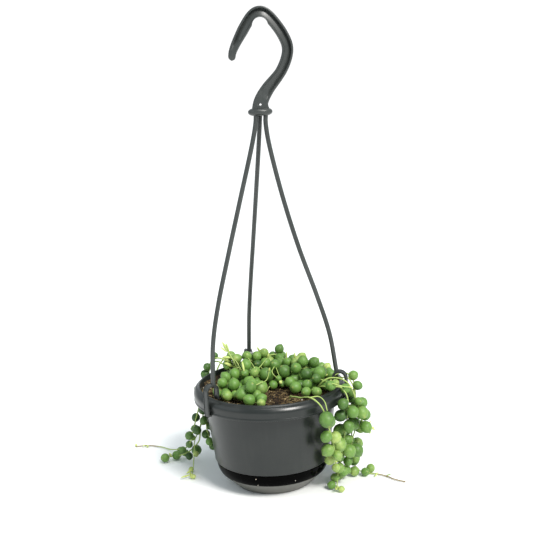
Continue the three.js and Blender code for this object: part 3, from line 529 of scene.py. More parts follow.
# %% The pot
# Corners in mm, from the axis outside and underneath to the axis inside: r, z and the fillet.
POT_OUTLINE = [
    (0, 2, 0), (26.6, 2, 1), (33.9, 9, 2), (37.6, 13, 1.5), (38.4, 19.6, 0.3), (41.7, 19.6, 0.35),
    (42.25, 20.1, 0.3), (42.2, 21.3, 0.4), (47.45, 64.5, 1.5), (49.7, 68.2, 1.5), (51.1, 71.8, 0.6),
    (52.5, 72.1, 0.6), (53.4, 70.6, 0.9), (53.0, 65.0, 0.5), (53.2, 64.3, 0.25), (54.75, 64.3, 0.35),
    (54.85, 65.4, 0.4), (54.5, 66.0, 0.4), (55.0, 69.6, 1.1), (54.55, 71.2, 0.8), (53.3, 73.05, 0.7),
    (51.9, 73.65, 0.5), (51.2, 74.5, 0.35), (50.3, 74.5, 0.35), (49.7, 72.7, 0.9), (48.2, 68.5, 1.5),
    (46, 64.5, 2), (40.6, 21.2, 0.6), (36.8, 20.9, 0.4), (36, 14, 1.5), (33, 10, 2), (25.9, 3.6, 1),
    (0, 3.6, 0),
]
DRAIN_HOLES = 6
DRAIN_RADIUS = 2.5
DRAIN_CIRCLE = 17

pot_shell = piece_from_bmesh("pot_shell", turned(filleted(POT_OUTLINE)), pot_plastic, sharp=50)
drains = bmesh.new()
for hole in range(DRAIN_HOLES):
    turn = Matrix.Rotation(TURN * hole / DRAIN_HOLES, 4, "Z")
    move = Matrix.Translation(Vector((DRAIN_CIRCLE, 0, 3)) * MM)
    bmesh.ops.create_cone(drains, cap_ends=True, segments=24, radius1=DRAIN_RADIUS * MM,
                          radius2=DRAIN_RADIUS * MM, depth=6 * MM, matrix=turn @ move)
drilled(pot_shell, "drain holes", drains)
stands_for(pot_shell, "pot", "pot")

# %% [markdown]
# ## The saucer
#
# The saucer is turned as well: a flat foot, a flank that flares under the pot, and an upright band
# whose edge tucks in under the pot's ledge. The flank is painted grey as the reflection of the white
# table. The corner between the flank and the polished band is a sharp one, and a thin line of light
# runs along it.

# %% The saucer
SAUCER_OUTLINE = [
    (0, 0.5, 0), (25.5, 0.5, 0.3), (26.2, 0, 0.3), (27.9, 0, 0.5), (36.2, 8.3, 2.2),
    (38.9, 10.7, 1.4), (40.5, 14, 1.8), (41.4, 19.1, 0.3), (39.8, 19.1, 0.4), (39, 14.4, 1.5),
    (37.6, 11.8, 1.4), (35.3, 9.6, 2), (27.6, 1.6, 1.2), (0, 1.6, 0),
]
# Below this height, in mm, the saucer is painted grey as the table's reflection.
PAINTED_REFLECTION_BELOW = 10.9

saucer_form = turned(filleted(SAUCER_OUTLINE))
saucer_shell = piece_from_bmesh("saucer_shell", saucer_form, saucer_plastic, sharp=50)
# The faces of the flank get the painted reflection as their finish.
saucer_shell.data.materials.append(painted_reflection_plastic)
for face in saucer_shell.data.polygons:
    face.material_index = 1 if face.center.z < PAINTED_REFLECTION_BELOW * MM else 0
stands_for(saucer_shell, "saucer", "saucer")

# %% [markdown]
# ## The hanger's hook
#
# The hook is a flat moulded band, stiffened as such hooks are: a thick edge all round and a recess
# on each face. It could be cut from a plate with booleans, as the CAD solid is. Here one
# section is swept along the hook's middle line instead, because then the recess can slope and fade
# out softly at both ends. The recess is deepest beside the outer edge, where the picture shows
# a dark groove.

# %% Smooth lines through points
STEPS_BETWEEN = 24


def smooth_line(points, spacing):
    """Points at an even spacing along a Catmull-Rom curve through the given ones."""
    knots = np.array(points, float)
    knots = np.vstack([2 * knots[0] - knots[1], knots, 2 * knots[-1] - knots[-2]])
    fine = []
    for p0, p1, p2, p3 in zip(knots, knots[1:], knots[2:], knots[3:]):
        for t in np.arange(STEPS_BETWEEN) / STEPS_BETWEEN:
            fine.append(0.5 * (2 * p1 + (p2 - p0) * t + (2 * p0 - 5 * p1 + 4 * p2 - p3) * t * t
                               + (3 * p1 - p0 - 3 * p2 + p3) * t ** 3))
    fine.append(knots[-2])
    fine = np.array(fine)
    travelled = np.concatenate([[0], np.cumsum(np.linalg.norm(np.diff(fine, axis=0), axis=1))])
    count = max(2, int(round(travelled[-1] / spacing)))
    marks = np.linspace(0, travelled[-1], count + 1)
    return np.stack([np.interp(marks, travelled, fine[:, k]) for k in range(fine.shape[1])], 1)


def swept(sections):
    """A closed skin over equal rings of points, from the first ring to the last."""
    made = bmesh.new()
    rings = [[made.verts.new(Vector(p) * MM) for p in section] for section in sections]
    for low, high in zip(rings, rings[1:]):
        for i in range(len(low)):
            j = (i + 1) % len(low)
            made.faces.new((low[i], low[j], high[j], high[i]))
    made.faces.new(rings[0][::-1])
    made.faces.new(rings[-1])
    return made


# %% The hook
# The middle line in x and z, from the collar to the tip, then the section's sizes, all in mm. RECESS
# is where along the hook the recess starts and ends, and CROOK the x, z and radius of the seat.
HOOK_LINE = [
    (2.6, 266.5), (3.2, 273.5), (8, 281.7), (18, 293.9), (22.6, 306.6), (19.6, 317.3),
    (11.3, 329), (5.2, 332.6), (-0.9, 329.6), (-8.5, 318.4), (-14, 308.2), (-15.4, 301.5),
]
HOOK_STEP = 0.8
HOOK_DEPTH = 7
FLANGE = 1.35
EDGE_ROUND = 0.65
GROOVE_DEPTH = 2.7
SHALLOW_DEPTH = 0.75
RECESS = (0.065, 0.955)
RECESS_FADE = 0.09
BLUNTNESS = 0.15
CROOK = (4.8, 324.0, 5.3)
EYE = {"x": 2.7, "z": 271.6, "radius": 0.8}


def hook_half_width(share):
    """Wide at the neck, even round the bend and narrow at the tip; share runs from 0 to 1."""
    if share < 0.25:
        return 5.4 - 1.6 * share / 0.25 + 1.3 * max(0, 1 - share / 0.07) ** 2
    return 3.8 if share < 0.82 else 3.8 - 1.5 * (share - 0.82) / 0.18


def hook_section(half, ease):
    """(across, depth) points of one section, anticlockwise; the outer edge is at -half."""
    top = HOOK_DEPTH / 2
    rim = EDGE_ROUND
    deep = GROOVE_DEPTH * ease
    shallow = SHALLOW_DEPTH * ease
    inner = half - FLANGE * 0.9
    outer = -half + FLANGE
    face = [
        (half, top - rim * 1.6), (half - rim * 0.35, top - rim * 0.4), (half - rim, top),
        (inner + 0.15, top), (inner - 0.1, top - 0.1 * ease), (inner - 0.45, top - shallow),
        ((inner + outer) / 2, top - (deep + shallow) * 0.42), (outer + 1.1, top - deep * 0.86),
        (outer + 0.5, top - deep), (outer + 0.15, top - deep * 0.85),
        (outer + 0.02, top - 0.15 * ease), (outer - 0.15, top), (-half + rim, top),
        (-half + rim * 0.35, top - rim * 0.4), (-half, top - rim * 1.6),
    ]
    return face + [(across, -y) for across, y in reversed(face)]


def clear_of_crook(x, z):
    """The seat is a true circle, so points inside it go out to its edge."""
    middle_x, middle_z, radius = CROOK
    off = math.hypot(x - middle_x, z - middle_z)
    if off >= radius:
        return x, z
    return middle_x + (x - middle_x) * radius / off, middle_z + (z - middle_z) * radius / off


line = smooth_line(HOOK_LINE, HOOK_STEP)
count = len(line)
sections = []
for i, (x, z) in enumerate(line):
    share = i / (count - 1)
    before, after = line[max(i - 1, 0)], line[min(i + 1, count - 1)]
    along = (after - before) / np.linalg.norm(after - before)
    half = hook_half_width(share)
    left = (count - 1 - i) * HOOK_STEP
    tip = 1 if left > half else max(BLUNTNESS, math.sqrt(1 - (1 - left / half) ** 2))
    fade = min((share - RECESS[0]) / RECESS_FADE, (RECESS[1] - share) / RECESS_FADE)
    ease = 0.5 - 0.5 * math.cos(math.pi * min(max(fade, 0), 1))
    ring = []
    for across, y in hook_section(half, ease):
        across, y = across * tip, y * (0.5 + 0.5 * tip)
        seat_x, seat_z = clear_of_crook(x - along[1] * across, z + along[0] * across)
        ring.append((seat_x, y, seat_z))
    sections.append(ring)
hook = piece_from_bmesh("hook_band", swept(sections), hanger_plastic, sharp=38)
eye = bmesh.new()
sideways = Matrix.Rotation(math.radians(90), 4, "X")
eye_place = Matrix.Translation(Vector((EYE["x"], 0, EYE["z"])) * MM) @ sideways
bmesh.ops.create_cone(eye, cap_ends=True, segments=24, radius1=EYE["radius"] * MM,
                      radius2=EYE["radius"] * MM, depth=20 * MM, matrix=eye_place)
drilled(hook, "eye", eye)
stands_for(hook, "hanger", "hanger")

# %% [markdown]
# ## The collar and the legs
#
# Under the hook sits an oval collar, from which three round legs run down to the rim. A leg is
# a rod that follows a line, so a Geometry Nodes tree sweeps a ring along it. The ring isn't quite
# round: a mould closes along two lines, and each leaves a fine ridge that catches the light all the
# way down. The lines bow a little to one side, as the pot's weight pulls them.

# %% The collar
COLLAR = {"x": 2.3, "z": 266.6, "wide": 8.4, "deep": 6.6}
collar_outline = filleted([
    (0, -2.4, 0), (6.0, -2.4, 0.9), (8.1, -1.2, 1), (8.45, 0.1, 1), (8.1, 1.3, 1), (6.4, 2.4, 0.9),
    (0, 2.4, 0),
])
collar_form = turned(collar_outline, 96)
squeeze = Matrix.Diagonal((1, COLLAR["deep"] / COLLAR["wide"], 1, 1))
collar_place = Matrix.Translation(Vector((COLLAR["x"], 0, COLLAR["z"])) * MM)
bmesh.ops.transform(collar_form, matrix=collar_place @ squeeze, verts=collar_form.verts)
collar = piece_from_bmesh("hanger_collar", collar_form, hanger_plastic, sharp=50)
stands_for(collar, "hanger", "hanger")

# %% A tree that sweeps a ring along a line
rod_tree, given, result = group(
    "Rod along a line", "GeometryNodeTree",
    [("Lines", "NodeSocketGeometry", None), ("Radius", "NodeSocketFloat", 0.0016),
     ("Ridge", "NodeSocketFloat", 0.00015), ("Finish", "NodeSocketMaterial", None)],
    [("Geometry", "NodeSocketGeometry")],
)
lines = out(put(rod_tree, "GeometryNodeMeshToCurve", {"Mesh": out(given, "Lines")}))
ring = put(rod_tree, "GeometryNodeCurvePrimitiveCircle", {
    "Resolution": 20, "Radius": out(given, "Radius")})
index = out(put(rod_tree, "GeometryNodeInputIndex"))
tenth = maths(rod_tree, "COMPARE", maths(rod_tree, "MODULO", index, 10.0), 0.0, 0.1)
swell = maths(rod_tree, "MULTIPLY", tenth, out(given, "Ridge"))
away = vector_maths(rod_tree, "NORMALIZE", out(put(rod_tree, "GeometryNodeInputPosition")))
push = put(rod_tree, "ShaderNodeVectorMath", {0: away, "Scale": swell}, operation="SCALE")
ridged = out(put(rod_tree, "GeometryNodeSetPosition", {"Geometry": out(ring), "Offset": out(push)}))
rod = out(put(rod_tree, "GeometryNodeCurveToMesh", {
    "Curve": lines, "Profile Curve": ridged, "Fill Caps": True}))
smooth = out(put(rod_tree, "GeometryNodeSetShadeSmooth", {"Geometry": rod}))
end_with_finish(rod_tree, smooth, given, result)
print("tree:", rod_tree.name)

# %% The legs
# Each clip's angle round the rim and how far its leg turns on the way up, in degrees. Then the
# r and z of a leg's line from the collar down, and how far the legs bow to one side, in mm.
CLIPS = [(343, -2), (219, 6), (107, -16)]
LEG_LINE = [
    (4.1, 267), (4.3, 258), (8, 241), (17.7, 207.5), (28.4, 173.5), (39.8, 139.5), (47, 112),
    (49.8, 83.9),
]
LEG_BOW = -3.6
LEG_RADIUS = 1.6
LEG_RIDGE = 0.16


def leg_point(r, z, angle, turn):
    """A point of one leg: the hanger bows and leans sideways, and each leg turns on its way up."""
    foot, top = LEG_LINE[-1][1], LEG_LINE[0][1]
    up = min(max((z - foot) / (top - foot), 0), 1)
    round_by = math.radians(angle + turn * up)
    shift = COLLAR["x"] * up + LEG_BOW * math.sin(math.pi * up)
    return r * math.cos(round_by) + shift, r * math.sin(round_by), z


leg_points = []
leg_edges = []
for angle, turn in CLIPS:
    leg = smooth_line([leg_point(r, z, angle, turn) for r, z in LEG_LINE], 3.0)
    start = len(leg_points)
    leg_points += [tuple(p * MM) for p in leg]
    leg_edges += [(k, k + 1) for k in range(start, start + len(leg) - 1)]
leg_lines = bpy.data.meshes.new("hanger_legs")
leg_lines.from_pydata(leg_points, leg_edges, [])
legs = grown("hanger_legs", leg_lines, rod_tree, Radius=LEG_RADIUS * MM, Ridge=LEG_RIDGE * MM,
             Finish=hanger_plastic)
stands_for(legs, "hanger", "hanger")

# %% [markdown]
# ## The clips
#
# Each leg ends in an inverted U that snaps over the rim: an outer strap with a barb under the skirt,
# an arch, and a short inner strap. One clip is swept from a rounded rectangle, and a Geometry
# Nodes tree puts three of them round the rim. The clips aren't quite a third of a turn apart, because
# somebody pushed them on by eye, so the tree takes an angle for each.

# %% One clip
CLIP_HALF_WIDTH = 2.3
CLIP_HALF_THICK = 0.85
CLIP_ROUNDING = 0.38
CLIP_END_ROUNDING = 0.25
BARB = {"sections": 3, "reach": 1.9, "slope": 0.45}
ARCH = {"r": 51.9, "z": 80.0, "middle": 4.55}
ARCH_STEPS = 32

outside, inside = ARCH["r"] + ARCH["middle"], ARCH["r"] - ARCH["middle"]
clip_path = [(outside, z, 0.0) for z in (62.9, 63.3, 64.0, 64.1, 64.3, 67, 70, 73, 76, 78.5)]
for k in range(ARCH_STEPS + 1):
    turn = math.pi * k / ARCH_STEPS
    clip_path.append((ARCH["r"] + ARCH["middle"] * math.cos(turn),
                      ARCH["z"] + ARCH["middle"] * math.sin(turn), turn))
clip_path += [(inside, z, math.pi) for z in (78.5, 76.5, 74.6, 73.5)]
clip_sections = []
for k, (r, z, turn) in enumerate(clip_path):
    barb = BARB["reach"] + BARB["slope"] * (k - 1) if k < BARB["sections"] else 0
    end = CLIP_END_ROUNDING if k in (0, len(clip_path) - 1) else 0.0
    wide = CLIP_HALF_WIDTH - end
    outer, inner = CLIP_HALF_THICK - end, -(CLIP_HALF_THICK + barb) + end
    section = []
    for off, side in ((outer, 1), (inner, 1), (inner, -1), (outer, -1)):
        nick = CLIP_ROUNDING
        first = (off, side * (wide - nick))
        second = (off - math.copysign(nick, off), side * wide)
        middle = (off - math.copysign(nick * 0.3, off), side * (wide - nick * 0.3))
        section += [first, middle, second] if (off > 0) == (side < 0) else [second, middle, first]
    clip_sections.append([
        (r + off * math.cos(turn), across, z + off * math.sin(turn)) for off, across in section
    ])
clip_mesh = mesh_from_bmesh("clip", swept(clip_sections), sharp=40)
print("one clip:", len(clip_mesh.polygons), "faces")

# %% Three clips round the rim
ANGLE_INPUTS = ("First angle", "Second angle", "Third angle")

round_tree, given, result = group(
    "Three copies round the axis", "GeometryNodeTree",
    [("Geometry", "NodeSocketGeometry", None), ("Finish", "NodeSocketMaterial", None),
     *((title, "NodeSocketFloat", 0.0) for title in ANGLE_INPUTS)],
    [("Geometry", "NodeSocketGeometry")],
)
seats = out(put(round_tree, "GeometryNodePoints", {"Count": 3}))
choice = round_tree.nodes.new("GeometryNodeIndexSwitch")
choice.data_type = "FLOAT"
choice.index_switch_items.new()
round_tree.links.new(out(put(round_tree, "GeometryNodeInputIndex")), choice.inputs["Index"])
for place, title in enumerate(ANGLE_INPUTS, 1):
    round_tree.links.new(out(given, title), choice.inputs[place])
axis = put(round_tree, "FunctionNodeAxisAngleToRotation", {"Axis": (0, 0, 1), "Angle": out(choice)})
copies = put(round_tree, "GeometryNodeInstanceOnPoints", {
    "Points": seats, "Instance": out(given, "Geometry"), "Rotation": out(axis)})
end_with_finish(round_tree, out(copies), given, result)
turns = {title: math.radians(angle) for title, (angle, _) in zip(ANGLE_INPUTS, CLIPS)}
clips = grown("rim_clips", clip_mesh, round_tree, Finish=hanger_plastic, **turns)
stands_for(clips, "hanger", "hanger")

# %% [markdown]
# ## The soil
#
# Potting soil is peat crumbs, coir fibres and a few pale grains of perlite. One bumpy surface reads
# as mud, so the bed is built in two layers: a mound that follows the CAD solid, and on it thousands
# of loose crumbs and fibres. Scattering is what Geometry Nodes do best: one tree places any
# small shape over the bed, with its size and its turn drawn from a fixed seed.

# %% The bed
SOIL_Z = 67.6
SOIL_RADIUS = 48.4
BRIM = {"from": 36, "to": 49, "rise": 4}
BED_RINGS = 68
BED_SIDES = 132
# The top is turned at this height, above everything, and then let down onto the mound.
OVER_ALL = 90


def soil_height(x, y):
    """The mound, for one place or for arrays of them; the soil climbs a little towards the rim."""
    mound = 2.2 * np.exp(-(x * x + y * y) / 900)
    brim = BRIM["rise"] * np.clip((np.hypot(x, y) - BRIM["from"]) / (BRIM["to"] - BRIM["from"]), 0, 1)
    lumps = 0.55 * np.sin(0.31 * x + 0.6) * np.cos(0.27 * y - 0.4)
    return SOIL_Z + mound + brim + lumps + 0.35 * np.sin(0.63 * x - 0.51 * y)


def soil_surface(x, y):
    """The mound with small rough lumps on it, a little lower so that the crumbs come up to it."""
    rough = noise.fractal(Vector((x * 0.42, y * 0.42, 3.1)), 0.9, 2.1, 4)
    return soil_height(x, y) + 0.7 * rough - 0.25


bed_outline = [
    (0, 3.9), (25.6, 3.9), (32.6, 10.2), (35.6, 14.2), (36.4, 21.3), (40.1, 21.6), (45.4, 64.5),
    (47.5, 68.2),
]
bed_radii = [SOIL_RADIUS, *np.linspace(SOIL_RADIUS - 0.4, 0.5, BED_RINGS), 0]
bed = turned([*bed_outline, *((r, OVER_ALL) for r in bed_radii)], BED_SIDES)
on_top = {point for point in bed.verts if point.co.z > 0.99 * OVER_ALL * MM}
top_faces = [face for face in bed.faces if all(point in on_top for point in face.verts)]
for point in on_top:
    point.co.z = soil_surface(point.co.x / MM, point.co.y / MM) * MM
print("soil:", len(bed.faces), "faces,", len(top_faces), "of them on top")

# %% [markdown]
# The finishes of the soil are made alike and differ in their numbers: nearly black for wet peat,
# the brown of straw for coir, and chalky for perlite. In each, noise mixes a dark and a pale tone.

# %% Soil finishes
def earthy(name, dark, pale, scale, roughness, height, mix_from, mix_to):
    """Two tones mixed by noise: the pale one starts at mix_from and is full from mix_to up."""
    material, tree, skin, where = bare_finish(name)
    broad = out(put(tree, "ShaderNodeTexNoise", {
        "Vector": where, "Scale": scale, "Detail": 6.0, "Roughness": 0.72}))
    crumb = out(put(tree, "ShaderNodeTexVoronoi", {"Vector": where, "Scale": scale * 6}), "Distance")
    mixed = blend_colours(tree, spread(tree, broad, mix_from, mix_to), dark, pale)
    tree.links.new(mixed, skin.inputs["Base Color"])
    skin.inputs["Roughness"].default_value = roughness
    skin.inputs["Specular IOR Level"].default_value = 0.25
    rough_skin = bump(tree, maths(tree, "ADD", broad, crumb), 0.8, height * MM)
    tree.links.new(rough_skin, skin.inputs["Normal"])
    return material


soil_finish = earthy(
    "potting soil", dark=(0.004, 0.003, 0.002, 1), pale=(0.045, 0.026, 0.014, 1), scale=260.0,
    roughness=0.92, height=0.9, mix_from=0.38, mix_to=0.66)
crumb_finish = earthy(
    "peat crumbs", dark=(0.006, 0.004, 0.002, 1), pale=(0.120, 0.075, 0.032, 1), scale=190.0,
    roughness=0.9, height=0.3, mix_from=0.38, mix_to=0.66)
fibre_finish = earthy(
    "coir fibre", dark=(0.12, 0.080, 0.034, 1), pale=(0.50, 0.37, 0.18, 1), scale=150.0,
    roughness=0.8, height=0.1, mix_from=0.35, mix_to=0.65)
perlite_finish = earthy(
    "perlite", dark=(0.42, 0.36, 0.27, 1), pale=(0.80, 0.76, 0.68, 1), scale=300.0,
    roughness=0.8, height=0.2, mix_from=0.35, mix_to=0.6)

# The top alone is kept as a mesh of its own, for the crumbs to lie on.
kept = [point for point in bed.verts if point in on_top]
number = {point: i for i, point in enumerate(kept)}
top_mesh = bpy.data.meshes.new("soil_top")
top_mesh.from_pydata([point.co for point in kept], [],
                     [[number[point] for point in face.verts] for face in top_faces])
soil_bed = piece_from_bmesh("soil_bed", bed, soil_finish)
stands_for(soil_bed, "soil", "soil")

# %% A tree that scatters a small shape
scatter_tree, given, result = group(
    "Scatter over a surface", "GeometryNodeTree",
    [("Surface", "NodeSocketGeometry", None), ("Each square metre", "NodeSocketFloat", 1e6),
     ("Smallest", "NodeSocketFloat", 0.0003), ("Largest", "NodeSocketFloat", 0.001),
     ("Flatness", "NodeSocketFloat", 0.7), ("Fibres", "NodeSocketBool", False),
     ("Patch scale", "NodeSocketFloat", 60.0), ("Patch from", "NodeSocketFloat", 0.0),
     ("Seed", "NodeSocketInt", 1), ("Finish", "NodeSocketMaterial", None)],
    [("Geometry", "NodeSocketGeometry")],
)
where = out(put(scatter_tree, "GeometryNodeInputPosition"))
patches = out(put(scatter_tree, "ShaderNodeTexNoise", {
    "Vector": where, "Scale": out(given, "Patch scale"), "Detail": 2.0}))
wanted = maths(scatter_tree, "GREATER_THAN", patches, out(given, "Patch from"))
density = maths(scatter_tree, "MULTIPLY", wanted, out(given, "Each square metre"))
seats = out(put(scatter_tree, "GeometryNodeDistributePointsOnFaces", {
    "Mesh": out(given, "Surface"), "Density": density, "Seed": out(given, "Seed")}), "Points")
lump = out(put(scatter_tree, "GeometryNodeMeshIcoSphere", {"Radius": 0.5, "Subdivisions": 1}))
bend = put(scatter_tree, "GeometryNodeCurveQuadraticBezier", {
    "Resolution": 5, "Start": (-3.2, 0, -0.5), "Middle": (0, 1.4, 1.3), "End": (3.2, 0, -0.4)})
section = put(scatter_tree, "GeometryNodeCurvePrimitiveCircle", {"Resolution": 3, "Radius": 0.17})
thread = out(put(scatter_tree, "GeometryNodeCurveToMesh", {
    "Curve": out(bend), "Profile Curve": out(section), "Fill Caps": True}))
shape = out(put(scatter_tree, "GeometryNodeSwitch", {
    "Switch": out(given, "Fibres"), "False": lump, "True": thread}, input_type="GEOMETRY"))
turn_limits = {"Min": (-0.5, -0.5, 0.0), "Max": (0.5, 0.5, TURN), "Seed": out(given, "Seed")}
turn = out(put(scatter_tree, "FunctionNodeRandomValue", turn_limits, data_type="FLOAT_VECTOR"))
spin = out(put(scatter_tree, "FunctionNodeEulerToRotation", {"Euler": turn}))
span = {"Min": out(given, "Smallest"), "Max": out(given, "Largest"), "Seed": out(given, "Seed")}
width = out(put(scatter_tree, "FunctionNodeRandomValue", span, data_type="FLOAT"))
other = {"Min": 0.6, "Max": 1.3, "Seed": maths(scatter_tree, "ADD", out(given, "Seed"), 7.0)}
odd = out(put(scatter_tree, "FunctionNodeRandomValue", other, data_type="FLOAT"))
stretch = out(put(scatter_tree, "ShaderNodeCombineXYZ", {0: 1.0, 1: odd, 2: out(given, "Flatness")}))
scale = put(scatter_tree, "ShaderNodeVectorMath", {0: stretch, "Scale": width}, operation="SCALE")
copies = out(put(scatter_tree, "GeometryNodeInstanceOnPoints", {
    "Points": seats, "Instance": shape, "Rotation": spin, "Scale": out(scale)}))
end_with_finish(scatter_tree, copies, given, result)
print("tree:", scatter_tree.name)


# %% Crumbs, fibres and perlite
CM2_IN_M2 = 1e4


def scattered(name, finish, each_cm2, sizes, flatness, seed, patch_from=0.0, patch_scale=60.0,
              fibres=False):
    """Sizes are the smallest and the largest in mm; fibres lie only where the patches say so."""
    settings = {
        "Each square metre": each_cm2 * CM2_IN_M2, "Smallest": sizes[0] * MM,
        "Largest": sizes[1] * MM, "Flatness": flatness, "Fibres": fibres,
        "Patch scale": patch_scale, "Patch from": patch_from, "Seed": seed, "Finish": finish,
    }
    stands_for(grown(name, top_mesh.copy(), scatter_tree, **settings), "soil")


scattered("soil_crumbs", crumb_finish, 62, (0.5, 1.5), flatness=0.75, seed=3)
scattered("soil_fibres", fibre_finish, 26, (0.35, 1.0), flatness=1.0, seed=5, patch_from=0.44,
          patch_scale=34.0, fibres=True)
scattered("soil_perlite", perlite_finish, 1.1, (0.7, 1.6), flatness=0.8, seed=11)

# Three pale grains that were spilled when the plant was potted stick to the saucer's band: x, y, z
# and radius in mm.
SPILLED = [(-12.5, -39.1, 16.8, 0.45), (-11.3, -37.8, 11.7, 0.32), (14.9, -37.6, 13.8, 0.32)]
grains = bmesh.new()
for x, y, z, radius in SPILLED:
    bmesh.ops.create_icosphere(grains, subdivisions=1, radius=radius * MM,
                               matrix=Matrix.Translation(Vector((x, y, z)) * MM))
stands_for(piece_from_bmesh("spilled_grains", grains, perlite_finish), "soil")
